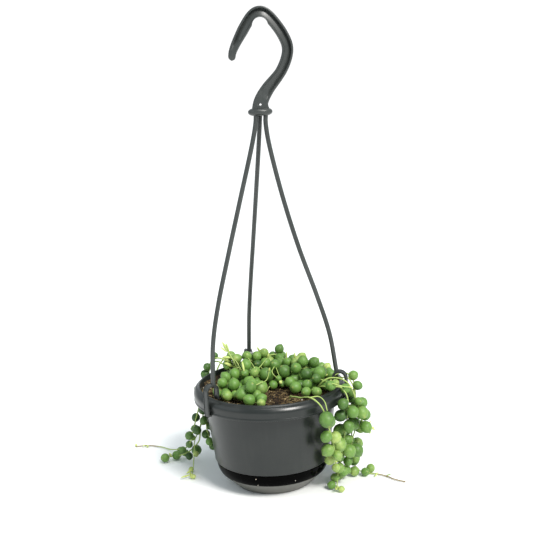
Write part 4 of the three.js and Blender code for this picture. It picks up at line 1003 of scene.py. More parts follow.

# %% [markdown]
# ## How the stems lie
#
# Each stem is drawn as a short list of points, read from the photograph. That alone would
# let the pearls cut through each other and through the pot. So the stems become chains of leaf nodes
# five millimetres apart, pearls are set round them by the golden angle, as leaves grow, and
# the whole plant settles: everything that touches is pushed apart, the stems keep their length,
# and nothing sinks into the pot, the soil or the table. The part's source does the same sums, so the
# finer pearls land where the coarse ones are.

# %% The stems' routes
# Each entry: name, pearls, their radius near the root, midway and near the tip, how many leaf nodes
# are bare at the root and at the tip, how many tiny buds end it, and its route from the hole in the
# soil, all in mm.
STRANDS = [
    ("back_left_low", 7, (3.5, 3.3, 2.9), 1, 0, 0,
     [(-11, 31), (-15, 33, 73), (-21, 31, 74), (-26, 26, 75), (-29, 20, 75)]),
    ("back_left_mid", 8, (3.7, 3.4, 3.0), 2, 0, 0,
     [(-7, 25), (-11, 25, 76), (-17, 24, 80), (-24, 22, 83), (-30, 18, 84)]),
    ("back_mid_low", 8, (3.8, 3.6, 3.2), 1, 0, 0,
     [(-3, 37), (1, 37, 73), (8, 36, 74), (17, 33, 74), (25, 29, 74)]),
    ("back_mid_high", 7, (3.6, 3.5, 3.3), 3, 0, 0,
     [(1, 27), (2, 30, 76), (5, 32, 80), (9, 32, 84), (3, 31, 86), (-4, 29, 85)]),
    ("back_mid_left", 8, (3.7, 3.5, 3.0), 2, 0, 0,
     [(-4, 17), (-6, 18, 77), (-10, 20, 81), (-17, 20, 83), (-24, 21, 84)]),
    ("back_right", 7, (3.6, 3.3, 2.7), 2, 0, 0,
     [(15, 25), (16, 27, 73), (19, 30, 75.5), (24, 28, 75.5), (29, 25, 73)]),
    ("centre_high", 8, (4.2, 3.7, 3.0), 2, 0, 0,
     [(4, 13), (4, 13, 77), (8, 15, 81), (15, 15, 82), (21, 11, 80)]),
    ("centre_low", 8, (3.8, 3.6, 3.0), 1, 0, 0,
     [(-8, 9), (-9, 10, 73), (-14, 11, 74), (-20, 11, 75), (-25, 8, 76)]),
    ("centre_left", 8, (4.6, 3.8, 3.2), 1, 0, 0,
     [(-3, 3), (-5, 2, 76), (-10, 0, 79), (-16, 2, 81), (-21, 4, 81)]),
    ("front_left_low", 8, (3.9, 3.8, 3.3), 1, 0, 0,
     [(-15, -6), (-17, -9, 73), (-21, -14, 74), (-26, -19, 73), (-31, -24, 72)]),
    ("front_left_high", 8, (3.9, 3.7, 3.3), 1, 0, 0,
     [(-18, 2), (-21, 0, 75), (-25, -4, 78), (-28, -8, 79), (-30, -12, 77)]),
    ("front_left_rim", 8, (4.4, 4.6, 2.8), 1, 0, 0,
     [(-11, -14), (-14, -18, 74), (-19, -24, 75), (-14, -31, 73), (-7, -34, 71)]),
    ("front_mid", 5, (3.0, 2.5, 1.8), 1, 0, 0,
     [(-1, -3), (2, -2, 74), (8, -1, 75), (13, -5, 74)]),
    ("right_low", 7, (3.9, 3.7, 3.0), 1, 0, 0,
     [(17, -2), (20, -6, 73), (24, -12, 73), (28, -18, 73), (32, -24, 73)]),
    ("right_mid", 8, (3.9, 3.7, 3.2), 1, 0, 0,
     [(18, 7), (21, 7, 74), (28, 6, 75), (34, 5, 75), (40, 2, 74)]),
    ("right_high", 8, (4.3, 4.2, 3.3), 1, 0, 0,
     [(13, 6), (15, 6, 77), (20, 7, 79.5), (26, 9, 80), (32, 11, 77.5), (38, 11, 73.5)]),
    ("right_back", 7, (3.6, 3.4, 2.9), 1, 0, 0,
     [(25, 15), (27, 17, 72), (31, 20, 72), (36, 20, 72), (40, 16, 72)]),
    ("right_edge", 7, (4.4, 3.6, 2.9), 1, 0, 0,
     [(26, -4), (29, -6.5, 76), (33.5, -10.5, 78), (38.5, -15, 77), (44, -19, 77)]),
    ("trail_front", 8, (5.3, 4.0, 3.4), 8, 0, 0,
     [(14, -22), (17, -28, 72.5), (21, -35, 74), (26, -41.5, 76.5), (31, -46, 75), (35.5, -47.5, 69),
      (38.5, -46, 58), (41, -42, 48), (42.5, -37.5, 39), (43.5, -32.5, 31), (43.5, -28, 23)]),
    ("trail_mid", 15, (3.8, 4.7, 2.4), 4, 0, 0,
     [(30, -13), (36, -18, 75), (43, -23, 77), (49, -27, 78), (53.5, -29.5, 72), (53.5, -29, 61),
      (52, -27, 48), (50.5, -25, 35), (48.5, -22, 23), (46.5, -19, 12), (45, -22, 4),
      (44, -30, 3.2)]),
    ("trail_clip", 14, (3.3, 4.7, 2.8), 5, 0, 0,
     [(35, -6), (41, -9, 76), (49, -10, 79), (56, -10.5, 78.5), (60, -11.5, 71), (60.5, -12, 60),
      (60, -14, 48), (58, -16, 37), (55, -15, 27), (52.5, -12, 17), (51, -9, 8), (50, -7, 4)]),
    ("trail_back", 13, (3.0, 4.0, 2.8), 8, 6, 0,
     [(37, 4), (44, 3, 77), (52, 1.5, 79), (58, 0, 77), (61, -2, 71), (61.5, -4, 58), (59.5, -6, 44),
      (57.5, -5, 31), (58, -3, 18), (60, 0, 8), (64.5, -1.5, 3), (70, -2.5, 1.3), (75.6, -4.4, 1.3),
      (81.7, -8.6, 1.3), (87.3, -15.2, 1.3), (94, -19.7, 1.3)]),
    ("trail_short", 6, (3.2, 4.8, 4.4), 9, 2, 1,
     [(33, -11), (39, -15, 79), (47, -18, 81), (54, -20, 79), (58.5, -20, 71), (60, -19, 61),
      (61.5, -18, 53), (65, -17.5, 46), (69.5, -17, 42.5)]),
    ("left_column", 15, (3.0, 3.6, 2.7), 6, 0, 0,
     [(-17, 29), (-23, 32, 76), (-30, 35, 80), (-36, 37.5, 82.5), (-41.5, 39.5, 82), (-45.5, 41, 76),
      (-46.5, 41, 66), (-47.5, 38, 56), (-49, 33, 47), (-49.5, 28.5, 38), (-48.5, 25, 29),
      (-46.5, 24, 21)]),
    ("left_long", 9, (3.3, 3.1, 2.6), 11, 9, 2,
     [(-20, 25), (-27, 29, 75), (-33, 34, 78.5), (-38, 39, 80), (-43, 44, 77.5), (-47, 45, 68),
      (-50, 40, 57), (-54, 34, 46), (-58, 28, 36), (-60, 26, 27), (-63, 29, 19), (-67.5, 37, 12),
      (-73.5, 48, 7), (-79, 56, 3.5), (-85.7, 64, 1.4), (-93.4, 68.8, 1.4), (-101, 71, 1.4),
      (-110.4, 70.5, 1.4)]),
    ("left_short", 7, (3.2, 3.4, 3.0), 13, 0, 0,
     [(-14, 36), (-21, 41, 75), (-27, 44, 79), (-32, 47, 80), (-37, 49, 76), (-42, 48, 66),
      (-47, 43, 54), (-51, 37, 43), (-54, 31, 33), (-56, 28, 24), (-59, 30, 17), (-65, 35, 10),
      (-72, 39, 5.5), (-81.3, 41, 3.8)]),
    ("left_shoot", 4, (2.2, 2.0, 1.7), 19, 0, 0,
     [(-7, 41), (-12, 46, 75), (-16, 50, 79), (-22, 53, 79), (-29, 55.5, 70), (-38, 52, 58),
      (-46, 44, 45), (-54, 34, 32), (-58.5, 27, 20), (-60, 20, 9), (-60.5, 13, 3), (-62, 5, 2.2)]),
]
print(len(STRANDS), "stems with", sum(strand[1] for strand in STRANDS), "pearls")

# %% Stems as chains, pearls round them
NODE_STEP = 5
ROOT_RISE = 1.6
NECK = 1.0
GOLDEN_ANGLE = 2.39996
ANGLE_PLAY = 0.9
LEAST_SIZE, SIZE_PLAY = 0.86, 0.28
BUD_RADIUS = 1.1
NEARLY_UPRIGHT = 0.9


def even_numbers(seed):
    """Even random numbers from 0 to 1, the same ones on every machine."""
    mask = 0xFFFFFFFF
    state = seed
    while True:
        state = (state + 0x6D2B79F5) & mask
        mixed = ((state ^ (state >> 15)) * (state | 1)) & mask
        mixed ^= (mixed + (((mixed ^ (mixed >> 7)) * (mixed | 61)) & mask)) & mask
        yield ((mixed ^ (mixed >> 14)) & mask) / 4294967296


def radius_along(sizes, share):
    """The radius swells or shrinks evenly from root to middle, and from there to the tip."""
    root, middle, tip = sizes
    if share < 0.5:
        return root + (middle - root) * 2 * share
    return middle + (tip - middle) * (2 * share - 1)


def lay_out():
    """The plant before it settles: points of the stems, points of the pearls, and which is whose."""
    numbers = even_numbers(20)
    nodes, stem_of, spans, pearls = [], [], [], []
    for stem, (name, amount, sizes, bare_root, bare_tip, buds, route) in enumerate(STRANDS):
        x, y = route[0]
        chain = smooth_line([(x, y, soil_height(x, y) + ROOT_RISE), *route[1:]], NODE_STEP)
        start = len(nodes)
        nodes += list(chain)
        stem_of += [stem] * len(chain)
        spans.append((start, len(nodes)))
        last = len(chain) - 1 - bare_tip
        for i in range(amount):
            share = i / max(1, amount - 1)
            k = min(int(round(bare_root + (last - bare_root) * share)), last)
            radius = radius_along(sizes, share) * (LEAST_SIZE + SIZE_PLAY * next(numbers))
            pearls.append((start + k, radius, i * GOLDEN_ANGLE + next(numbers) * ANGLE_PLAY, stem))
        for i in range(buds):
            angle = i * GOLDEN_ANGLE + next(numbers) * ANGLE_PLAY
            pearls.append((len(nodes) - 1 - 2 * i, BUD_RADIUS, angle, stem))
    nodes = np.array(nodes)
    centres = []
    for k, radius, angle, stem in pearls:
        start, end = spans[stem]
        along = nodes[min(end - 1, k + 1)] - nodes[max(start, k - 1)]
        along /= np.linalg.norm(along)
        upright = np.array([0, 0, 1.0]) if abs(along[2]) < NEARLY_UPRIGHT else np.array([1.0, 0, 0])
        side = np.cross(along, upright)
        side /= np.linalg.norm(side)
        out_way = math.cos(angle) * side + math.sin(angle) * np.cross(side, along)
        centres.append(nodes[k] + out_way * (radius + NECK))
    return nodes, np.array(centres), pearls, spans, np.array(stem_of)


stem_nodes, pearl_centres, pearl_rows, stem_spans, stem_of_node = lay_out()
print(len(stem_nodes), "leaf nodes,", len(pearl_centres), "pearls and buds")

# %% What the plant lies against
TINY, SMALL = 1e-9, 1e-6
STEM_RADIUS = 0.8
CLEARANCE = 0.55
SOIL_EXTRA = 0.4
TABLE_EASE = 0.3
MOUTH_RADIUS = 49.6
SKIRT_Z = 64.5
HANGER_BALLS = {"clip": 2.5, "leg": 2.1}
POT_SIDE = np.array([
    (46, 50), (46, SKIRT_Z), (48.2, 68.5), (MOUTH_RADIUS, 72.5), (50.2, 74.1), (51, 74.4), (53.4, 73),
    (54.8, 71), (55, 69.5), (54.4, SKIRT_Z), (47.6, SKIRT_Z), (41.9, 19.4), (41.3, 19), (40.5, 14),
    (38.9, 10.7), (36.2, 8.3), (28.4, 0), (20, -8), (20, 50),
])


def out_of_pot(points, radii):
    """How far each sphere has to move to lie outside the pot's outline."""
    r = np.hypot(points[:, 0], points[:, 1])
    z = points[:, 2]
    flat = np.stack([r, z], 1)
    best = np.full(len(points), 1e9)
    away = np.zeros((len(points), 2))
    inside = np.zeros(len(points), bool)
    for a, b in zip(POT_SIDE, np.roll(POT_SIDE, -1, 0)):
        edge = b - a
        t = np.clip(((flat - a) @ edge) / (edge @ edge), 0, 1)
        off = flat - a - t[:, None] * edge
        distance = np.hypot(off[:, 0], off[:, 1])
        nearer = distance < best
        best = np.where(nearer, distance, best)
        away = np.where(nearer[:, None], off, away)
        if a[1] != b[1]:
            crossing = edge[0] * (z - a[1]) / edge[1] + a[0]
            inside ^= ((a[1] > z) != (b[1] > z)) & (r < crossing)
    sign = np.where(inside, -1, 1)
    push = np.maximum(0, radii - sign * best) * sign / np.maximum(best, TINY)
    r = np.maximum(r, TINY)
    x_push = points[:, 0] / r * away[:, 0] * push
    y_push = points[:, 1] / r * away[:, 0] * push
    return np.stack([x_push, y_push, away[:, 1] * push], 1)


def out_of_ground(points, radii):
    """The same for the pot, the soil and the table together."""
    push = out_of_pot(points, radii)
    moved = points + push
    in_mouth = (np.hypot(moved[:, 0], moved[:, 1]) < MOUTH_RADIUS) & (moved[:, 2] > SKIRT_Z)
    on_soil = soil_height(moved[:, 0], moved[:, 1]) + radii + SOIL_EXTRA
    lift = np.where(in_mouth, on_soil - moved[:, 2], 0)
    push[:, 2] += np.maximum(np.maximum(lift, radii - TABLE_EASE - moved[:, 2]), 0)
    return push


def hanger_spheres():
    """The clips and the feet of the legs as rows of balls: x, y, z and radius."""
    rows = []
    foot_radius, foot_z = LEG_LINE[-1]
    for angle, turn in CLIPS:
        way = math.radians(angle)
        ring = [(ARCH["r"] + ARCH["middle"] * math.cos(math.pi * k / 12),
                 ARCH["z"] + ARCH["middle"] * math.sin(math.pi * k / 12)) for k in range(13)]
        ring += [(ARCH["r"] + ARCH["middle"], 63.5 + 2.1 * k) for k in range(9)]
        ring += [(ARCH["r"] - ARCH["middle"], 73.4 + 2.1 * k) for k in range(4)]
        rows += [(r * math.cos(way), r * math.sin(way), z, HANGER_BALLS["clip"]) for r, z in ring]
        rows += [(*leg_point(foot_radius - 0.1 * up, foot_z + up, angle, turn), HANGER_BALLS["leg"])
                 for up in (2.1 + 4 * k for k in range(5))]
    return np.array(rows)


print("the plant goes round", len(hanger_spheres()), "spheres of the hanger")

# %% Settling
# Gaps, the stems' extra room and the stalks' slack are in mm.
ROUNDS = 200
QUIET_ROUNDS = 60
TRIM_ROUNDS = 4
PEARL_GAP = 0.45
LEAST_GAP = 0.35
STEM_SPACING = 3.1
STEM_ROOM = 0.3
STALK_SLACK = 1.6
# A pearl is taken to have a point, which adds up to 0.16 of its radius in the directions whose
# cosine with its own is over 0.8.
TIP = 0.16
TIP_FROM, TIP_SPAN = 0.8, 0.2
ROUNDNESS = 1.05
# Shares: how much further a pearl looks for others and stays off stems, how pushes from many sides
# add up, how far each pull goes, how fast the plant sinks and returns to its drawn route, and how
# a stalk's pull is shared between pearl and stem.
LOOK_AHEAD = 1.2
BERTH = 1.06
CROWDING = 0.7
OVERSTEP = 1.2
SAG = 0.05
HOMEWARD = 0.06
BEND_STIFFNESS, LINK_STIFFNESS = 0.3, 0.5
PEARL_SHARE, STEM_SHARE = 0.8, 0.2


def lengths(vectors):
    return np.linalg.norm(vectors, axis=1)


class Plant:
    """Leaf nodes first, then pearls, as one array of points with what ties them together."""

    def __init__(self):
        self.nodes = len(stem_nodes)
        self.at = np.vstack([stem_nodes, pearl_centres])
        self.home = stem_nodes.copy()
        self.radius = np.array([row[1] for row in pearl_rows])
        self.node_of = np.array([row[0] for row in pearl_rows])
        self.stem = np.concatenate([stem_of_node, [row[3] for row in pearl_rows]]).astype(int)
        self.free = np.ones(len(self.at))
        self.free[[start for start, _ in stem_spans]] = 0
        self.links = self.ties(1)
        self.bends = self.ties(2)
        self.pairs = np.triu_indices(len(self.radius), 1)
        self.hanger = hanger_spheres()

    def ties(self, step):
        """Pairs of leaf nodes that are a step apart on one stem, and their distance."""
        first = np.array([k for start, end in stem_spans for k in range(start, end - step)])
        return first, first + step, lengths(self.home[first + step] - self.home[first])

    def axes(self):
        """The way each pearl points, out from its stem."""
        out_ways = self.at[self.nodes:] - self.at[self.node_of]
        return out_ways / lengths(out_ways)[:, None]

    def reach(self, which, direction, axes):
        """How far each pearl extends in a direction: its radius, and more towards its point."""
        point = np.clip((np.einsum("ij,ij->i", axes[which], direction) - TIP_FROM) / TIP_SPAN, 0, 1)
        return self.radius[which] * ROUNDNESS * (1 + TIP * point ** 2)

    def push_apart(self):
        move = np.zeros_like(self.at)
        hits = np.zeros(len(self.at))

        def push(which, by):
            np.add.at(move, which, by)
            np.add.at(hits, which, (np.abs(by).sum(1) > TINY).astype(float))

        self.part_pearls(push)
        self.part_pearls_from_stems(push)
        self.part_stems(push)
        hull = np.concatenate([np.full(self.nodes, STEM_RADIUS + STEM_ROOM), self.radius * ROUNDNESS])
        off = self.at[:, None, :] - self.hanger[None, :, :3]
        gap = np.linalg.norm(off, axis=2)
        lack = np.maximum(0, hull[:, None] + self.hanger[None, :, 3] + PEARL_GAP - gap)
        away = off / np.maximum(gap, SMALL)[:, :, None] * lack[:, :, None]
        push(np.arange(len(self.at)), away.sum(1))
        self.at += move / np.maximum(hits ** CROWDING, 1)[:, None] * self.free[:, None]

    def part_pearls(self, push):
        axes = self.axes()
        i, j = self.pairs
        away = self.at[self.nodes:][i] - self.at[self.nodes:][j]
        gap = lengths(away)
        near = gap < (self.radius[i] + self.radius[j]) * ROUNDNESS * LOOK_AHEAD + PEARL_GAP
        i, j, gap = i[near], j[near], gap[near]
        away = away[near] / np.maximum(gap, SMALL)[:, None]
        lack = np.maximum(0, self.reach(i, -away, axes) + self.reach(j, away, axes) + PEARL_GAP - gap)
        push(self.nodes + i, away * (lack / 2)[:, None])
        push(self.nodes + j, -away * (lack / 2)[:, None])

    def to_links(self):
        """From each link's nearest point to each pearl: the way, its length and its start."""
        first, second, _ = self.links
        a, along = self.at[first], self.at[second] - self.at[first]
        off = self.at[self.nodes:][:, None, :] - a[None]
        t = np.clip((off * along[None]).sum(2) / (along * along).sum(1)[None], 0, 1)
        off = off - t[:, :, None] * along[None]
        return off, np.linalg.norm(off, axis=2), t

    def part_pearls_from_stems(self, push):
        first, second, _ = self.links
        off, gap, t = self.to_links()
        node_of = self.node_of[:, None]
        own = (np.abs(node_of - first[None]) <= 1) | (node_of == second[None])
        own &= self.stem[self.nodes:][:, None] == self.stem[first][None]
        need = self.radius[:, None] * ROUNDNESS * BERTH + STEM_RADIUS + PEARL_GAP
        which, link = np.nonzero((gap < need) & ~own)
        if not len(which):
            return
        away = off[which, link] / np.maximum(gap[which, link], SMALL)[:, None]
        lack = need[which, 0] - gap[which, link]
        t = t[which, link]
        push(self.nodes + which, away * (lack / 2)[:, None])
        push(first[link], -away * (lack / 2 * (1 - t))[:, None])
        push(second[link], -away * (lack / 2 * t)[:, None])

    def part_stems(self, push):
        first, second, _ = self.links
        marks = np.vstack([self.at[:self.nodes], (self.at[first] + self.at[second]) / 2])
        stems = np.concatenate([self.stem[:self.nodes], self.stem[first]])
        off = marks[:, None, :] - marks[None]
        gap = np.linalg.norm(off, axis=2)
        close = np.triu((gap < STEM_SPACING) & (stems[:, None] != stems[None]), 1)
        for i, j in zip(*np.nonzero(close)):
            by = off[i, j] / max(gap[i, j], SMALL) * (STEM_SPACING - gap[i, j]) / 2
            for mark, sign in ((i, 1), (j, -1)):
                if mark < self.nodes:
                    push(np.array([mark]), sign * by[None])
                else:
                    push(first[[mark - self.nodes]], sign * by[None] / 2)
                    push(second[[mark - self.nodes]], sign * by[None] / 2)

    def pull(self, ties, stiffness):
        """Brings tied points back to the distance they had."""
        first, second, length = ties
        along = self.at[second] - self.at[first]
        now = lengths(along)
        by = along * ((now - length) / np.maximum(now, SMALL))[:, None] * stiffness
        move, hits = np.zeros_like(self.at), np.zeros(len(self.at))
        for which, sign in ((first, 1), (second, -1)):
            np.add.at(move, which, sign * by)
            np.add.at(hits, which, 1)
        self.at += move / np.maximum(hits, 1)[:, None] * self.free[:, None] * OVERSTEP

    def hold_pearls(self):
        """Keeps each pearl a stalk's length from its stem, with a little slack."""
        along = self.at[self.nodes:] - self.at[self.node_of]
        now = lengths(along)
        spare = now - self.radius - NECK
        within = np.where(spare > 0, 0.1 * spare, spare)
        keep = np.where(spare > STALK_SLACK, spare - STALK_SLACK, within)
        by = along * (keep / np.maximum(now, SMALL))[:, None]
        self.at[self.nodes:] -= by * PEARL_SHARE
        move, hits = np.zeros_like(self.at), np.zeros(len(self.at))
        np.add.at(move, self.node_of, by * STEM_SHARE)
        np.add.at(hits, self.node_of, 1)
        self.at += move / np.maximum(hits, 1)[:, None] * self.free[:, None]

    def settle(self):
        hull = np.concatenate([np.full(self.nodes, STEM_RADIUS), self.radius * ROUNDNESS])
        solid = hull + CLEARANCE
        first, second, _ = self.links
        free = self.free[:, None]
        for turn in range(ROUNDS):
            self.push_apart()
            if turn < ROUNDS - QUIET_ROUNDS:
                self.at[:, 2] -= SAG * self.free
                way_home = (self.home - self.at[:self.nodes]) * HOMEWARD
                self.at[:self.nodes] += way_home * free[:self.nodes]
            for _ in range(3):
                self.pull(self.bends, BEND_STIFFNESS)
                self.pull(self.links, LINK_STIFFNESS)
                self.hold_pearls()
            self.at += out_of_ground(self.at, solid) * free
            middles = (self.at[first] + self.at[second]) / 2
            push = out_of_ground(middles, np.full(len(middles), STEM_RADIUS + CLEARANCE))
            np.add.at(self.at, first, push * free[first])
            np.add.at(self.at, second, push * free[second])

    def trim(self):
        """Pearls that are still squeezed stay smaller."""
        for _ in range(TRIM_ROUNDS):
            axes = self.axes()
            i, j = self.pairs
            away = self.at[self.nodes:][i] - self.at[self.nodes:][j]
            gap = lengths(away)
            away /= np.maximum(gap, SMALL)[:, None]
            other = self.stem[self.nodes:][i] != self.stem[self.nodes:][j]
            both = self.reach(i, -away, axes) + self.reach(j, away, axes)
            lack = np.where(other, both + LEAST_GAP - gap, 0)
            cut = np.zeros(len(self.radius))
            np.maximum.at(cut, i, lack / 2)
            np.maximum.at(cut, j, lack / 2)
            _, gap, _ = self.to_links()
            other = self.stem[self.nodes:][:, None] != self.stem[self.links[0]][None]
            need = self.radius[:, None] * ROUNDNESS + STEM_RADIUS + LEAST_GAP
            lack = np.where(other, need - gap, 0)
            self.radius = self.radius - np.maximum(cut, lack.max(1))


plant = Plant()
plant.settle()
plant.trim()
smallest, largest = plant.radius.min(), plant.radius.max()
print("settled; pearls from", round(smallest, 2), "to", round(largest, 2), "mm in radius")

# %% [markdown]
# ## A stem with its pearls
#
# One stem could be modelled leaf by leaf, but there are more than two hundred pearls. Instead each
# stem is written down as a plan: a mesh of bare lines for the stem and the pearls' stalks, and one
# lone point for each pearl, with its size, its direction, and its age with some painted shade as
# attributes. One Geometry Nodes tree turns any plan into a plant: it sweeps the lines and puts a
# pearl on every point. The pearl is a ball of a few dozen faces with a small point at its outer end.

# %% The pearl's tree
strand_tree, given, result = group(
    "Stem with pearls", "GeometryNodeTree",
    [("Plan", "NodeSocketGeometry", None), ("Point", "NodeSocketFloat", 0.15),
     ("Around", "NodeSocketInt", 12), ("Along", "NodeSocketInt", 8),
     ("Step", "NodeSocketFloat", 0.0011), ("Stem finish", "NodeSocketMaterial", None),
     ("Pearl finish", "NodeSocketMaterial", None)],
    [("Geometry", "NodeSocketGeometry")],
)


def attribute(tree, name, kind="FLOAT"):
    made = put(tree, "GeometryNodeInputNamedAttribute", {"Name": name}, data_type=kind)
    return out(made, "Attribute")


lines = out(put(strand_tree, "GeometryNodeMeshToCurve", {"Mesh": out(given, "Plan")}))
supple = out(put(
    strand_tree, "GeometryNodeCurveSplineType", {"Curve": lines}, spline_type="CATMULL_ROM"))
even = put(strand_tree, "GeometryNodeResampleCurve", {
    "Curve": supple, "Length": out(given, "Step")}, mode="LENGTH")
ring = out(put(strand_tree, "GeometryNodeCurvePrimitiveCircle", {"Resolution": 7, "Radius": 1.0}))
lump = out(put(strand_tree, "ShaderNodeTexNoise", {
    "Vector": out(put(strand_tree, "GeometryNodeInputPosition")), "Scale": 330.0}))
thick = maths(strand_tree, "MULTIPLY", attribute(strand_tree, "thickness"),
              maths(strand_tree, "MULTIPLY_ADD", lump, 0.5, 0.75))
stems = put(strand_tree, "GeometryNodeCurveToMesh", {
    "Curve": out(even), "Profile Curve": ring, "Scale": thick, "Fill Caps": True})
stems = put(strand_tree, "GeometryNodeSetMaterial", {
    "Geometry": out(stems), "Material": out(given, "Stem finish")})

ball = out(put(strand_tree, "GeometryNodeMeshUVSphere", {
    "Segments": out(given, "Around"), "Rings": out(given, "Along"), "Radius": 1.0}))
here = out(put(strand_tree, "GeometryNodeInputPosition"))
marked = put(strand_tree, "GeometryNodeStoreNamedAttribute", {
    "Geometry": ball, "Name": "pearl_place", "Value": here}, data_type="FLOAT_VECTOR", domain="POINT")
height = out(put(strand_tree, "ShaderNodeSeparateXYZ", {0: here}), "Z")
tip_rise = maths(strand_tree, "MULTIPLY", spread(strand_tree, height, 0.90, 1.0), out(given, "Point"))
root_draw = maths(strand_tree, "MULTIPLY", spread(strand_tree, height, -0.90, -1.0), -0.10)
rise = maths(strand_tree, "ADD", tip_rise, root_draw)
lift = out(put(strand_tree, "ShaderNodeCombineXYZ", {2: rise}))
pearl = out(put(strand_tree, "GeometryNodeSetPosition", {"Geometry": out(marked), "Offset": lift}))

seats = put(strand_tree, "GeometryNodeMeshToPoints", {
    "Mesh": out(given, "Plan"),
    "Selection": maths(strand_tree, "GREATER_THAN", attribute(strand_tree, "pearl_radius"), 0.0)})
twist = out(put(strand_tree, "ShaderNodeCombineXYZ", {2: attribute(strand_tree, "pearl_twist")}))
spun = out(put(strand_tree, "FunctionNodeEulerToRotation", {"Euler": twist}))
aimed = out(put(strand_tree, "FunctionNodeAlignRotationToVector", {
    "Rotation": spun, "Vector": attribute(strand_tree, "pearl_out", "FLOAT_VECTOR")}, axis="Z"))
form = put(strand_tree, "ShaderNodeVectorMath", {
    0: attribute(strand_tree, "pearl_form", "FLOAT_VECTOR"),
    "Scale": attribute(strand_tree, "pearl_radius")}, operation="SCALE")
pearls = put(strand_tree, "GeometryNodeInstanceOnPoints", {
    "Points": out(seats), "Instance": pearl, "Rotation": aimed, "Scale": out(form)})
pearls = put(strand_tree, "GeometryNodeRealizeInstances", {"Geometry": out(pearls)})
pearls = put(strand_tree, "GeometryNodeSetMaterial", {
    "Geometry": out(pearls), "Material": out(given, "Pearl finish")})
both = put(strand_tree, "GeometryNodeJoinGeometry")
strand_tree.links.new(out(stems), both.inputs[0])
strand_tree.links.new(out(pearls), both.inputs[0])
smooth = put(strand_tree, "GeometryNodeSetShadeSmooth", {"Geometry": out(both)})
strand_tree.links.new(out(smooth), result.inputs["Geometry"])
print("tree:", strand_tree.name)

# %% [markdown]
# ## Leaf and stem finishes
#
# A pearl is a leaf rolled into a ball. Its skin is waxy and lets a little light in, so it gets some
# subsurface scattering. Old pearls are deep green and young ones nearly yellow, which the tree takes
# from the youth attribute; for the stems at the shaded left that attribute also carries
# painted shade, which makes them darker. Each pearl has a thin darker window along one side, through
# which the real leaf lets light inside. The stems run from pale green to dry brown at the far ends.

# %% Leaf and stem materials
WAX = {"roughness": 0.46, "specular": 0.42}
LIGHT_INSIDE = {"weight": 0.15, "radius": (0.35, 0.6, 0.12), "scale": 2.2}


def shader_attribute(tree, name, key="Fac"):
    return out(put(tree, "ShaderNodeAttribute", attribute_name=name), key)


pearl_skin, tree, skin, where = bare_finish("pearl skin")
# Youth of each pearl, with painted shade for the stems at the shaded left.
youth = shader_attribute(tree, "youth")
look = use(tree, leaf_tree, Vector=where, Youth=youth, Dark=colour(44, 76, 30),
           Middle=colour(100, 138, 62), Young=colour(196, 208, 122))
local = put(tree, "ShaderNodeSeparateXYZ", {0: shader_attribute(tree, "pearl_place", "Vector")})
beside = maths(tree, "ABSOLUTE", out(local, "Y"))
narrow = spread(tree, beside, 0.17, 0.05)
one_side = spread(tree, out(local, "X"), 0.0, 0.3)
off_the_heel = spread(tree, out(local, "Z"), -0.7, -0.3)
in_front = maths(tree, "MULTIPLY", one_side, off_the_heel)
window = maths(tree, "MULTIPLY", maths(tree, "MULTIPLY", narrow, in_front), 0.25)
green = blend_colours(tree, window, look.outputs["Color"], colour(38, 66, 26))
tip = spread(tree, out(local, "Z"), 0.94, 1.0)
green = blend_colours(tree, maths(tree, "MULTIPLY", tip, 0.45), green, colour(176, 168, 92))
heel = spread(tree, out(local, "Z"), -0.90, -1.0)
green = blend_colours(tree, maths(tree, "MULTIPLY", heel, 0.5), green, colour(186, 204, 122))
tree.links.new(green, skin.inputs["Base Color"])
skin.inputs["Roughness"].default_value = WAX["roughness"]
skin.inputs["Specular IOR Level"].default_value = WAX["specular"]
skin.inputs["Subsurface Weight"].default_value = LIGHT_INSIDE["weight"]
skin.inputs["Subsurface Radius"].default_value = LIGHT_INSIDE["radius"]
skin.inputs["Subsurface Scale"].default_value = LIGHT_INSIDE["scale"] * MM
tree.links.new(bump(tree, look.outputs["Height"], 0.22, 0.12 * MM), skin.inputs["Normal"])

stem_skin, tree, skin, where = bare_finish("stem skin")
dryness = shader_attribute(tree, "dryness")
look = use(tree, leaf_tree, Vector=where, Youth=0.55, Dark=colour(112, 138, 66),
           Middle=colour(160, 182, 100), Young=colour(206, 212, 150))
brown = put(tree, "ShaderNodeTexNoise", {"Vector": where, "Scale": 500.0, "Detail": 3.0})
bark = blend_colours(tree, out(brown), colour(92, 72, 44), colour(168, 146, 96))
tree.links.new(blend_colours(tree, dryness, look.outputs["Color"], bark), skin.inputs["Base Color"])
skin.inputs["Roughness"].default_value = 0.55
skin.inputs["Specular IOR Level"].default_value = 0.35
tree.links.new(bump(tree, look.outputs["Height"], 0.4, 0.15 * MM), skin.inputs["Normal"])
print("finishes:", pearl_skin.name, "and", stem_skin.name)

# %% [markdown]
# ## From plan to plant
#
# The plans are written now. Young growth is too fine for the CAD solids, so it is added here: at
# each tip a few tiny, longer pearls, and in the middle of the pot some pale pointed shoots that stand
# up among the round pearls. Everything on a plan is given by points and attributes alone.

# %% A plan's lines and points
PLUMPNESS = 1.06
USUAL_THICKNESS = (0.66, 0.45)
# Half thickness in mm at the root and at the tip, where a stem isn't of the usual thickness.
STEM_THICKNESS = {
    "trail_front": (0.55, 0.5), "trail_mid": (0.52, 0.45), "trail_clip": (0.52, 0.45),
    "trail_back": (0.62, 0.42), "left_long": (0.62, 0.4), "left_shoot": (0.55, 0.34),
}
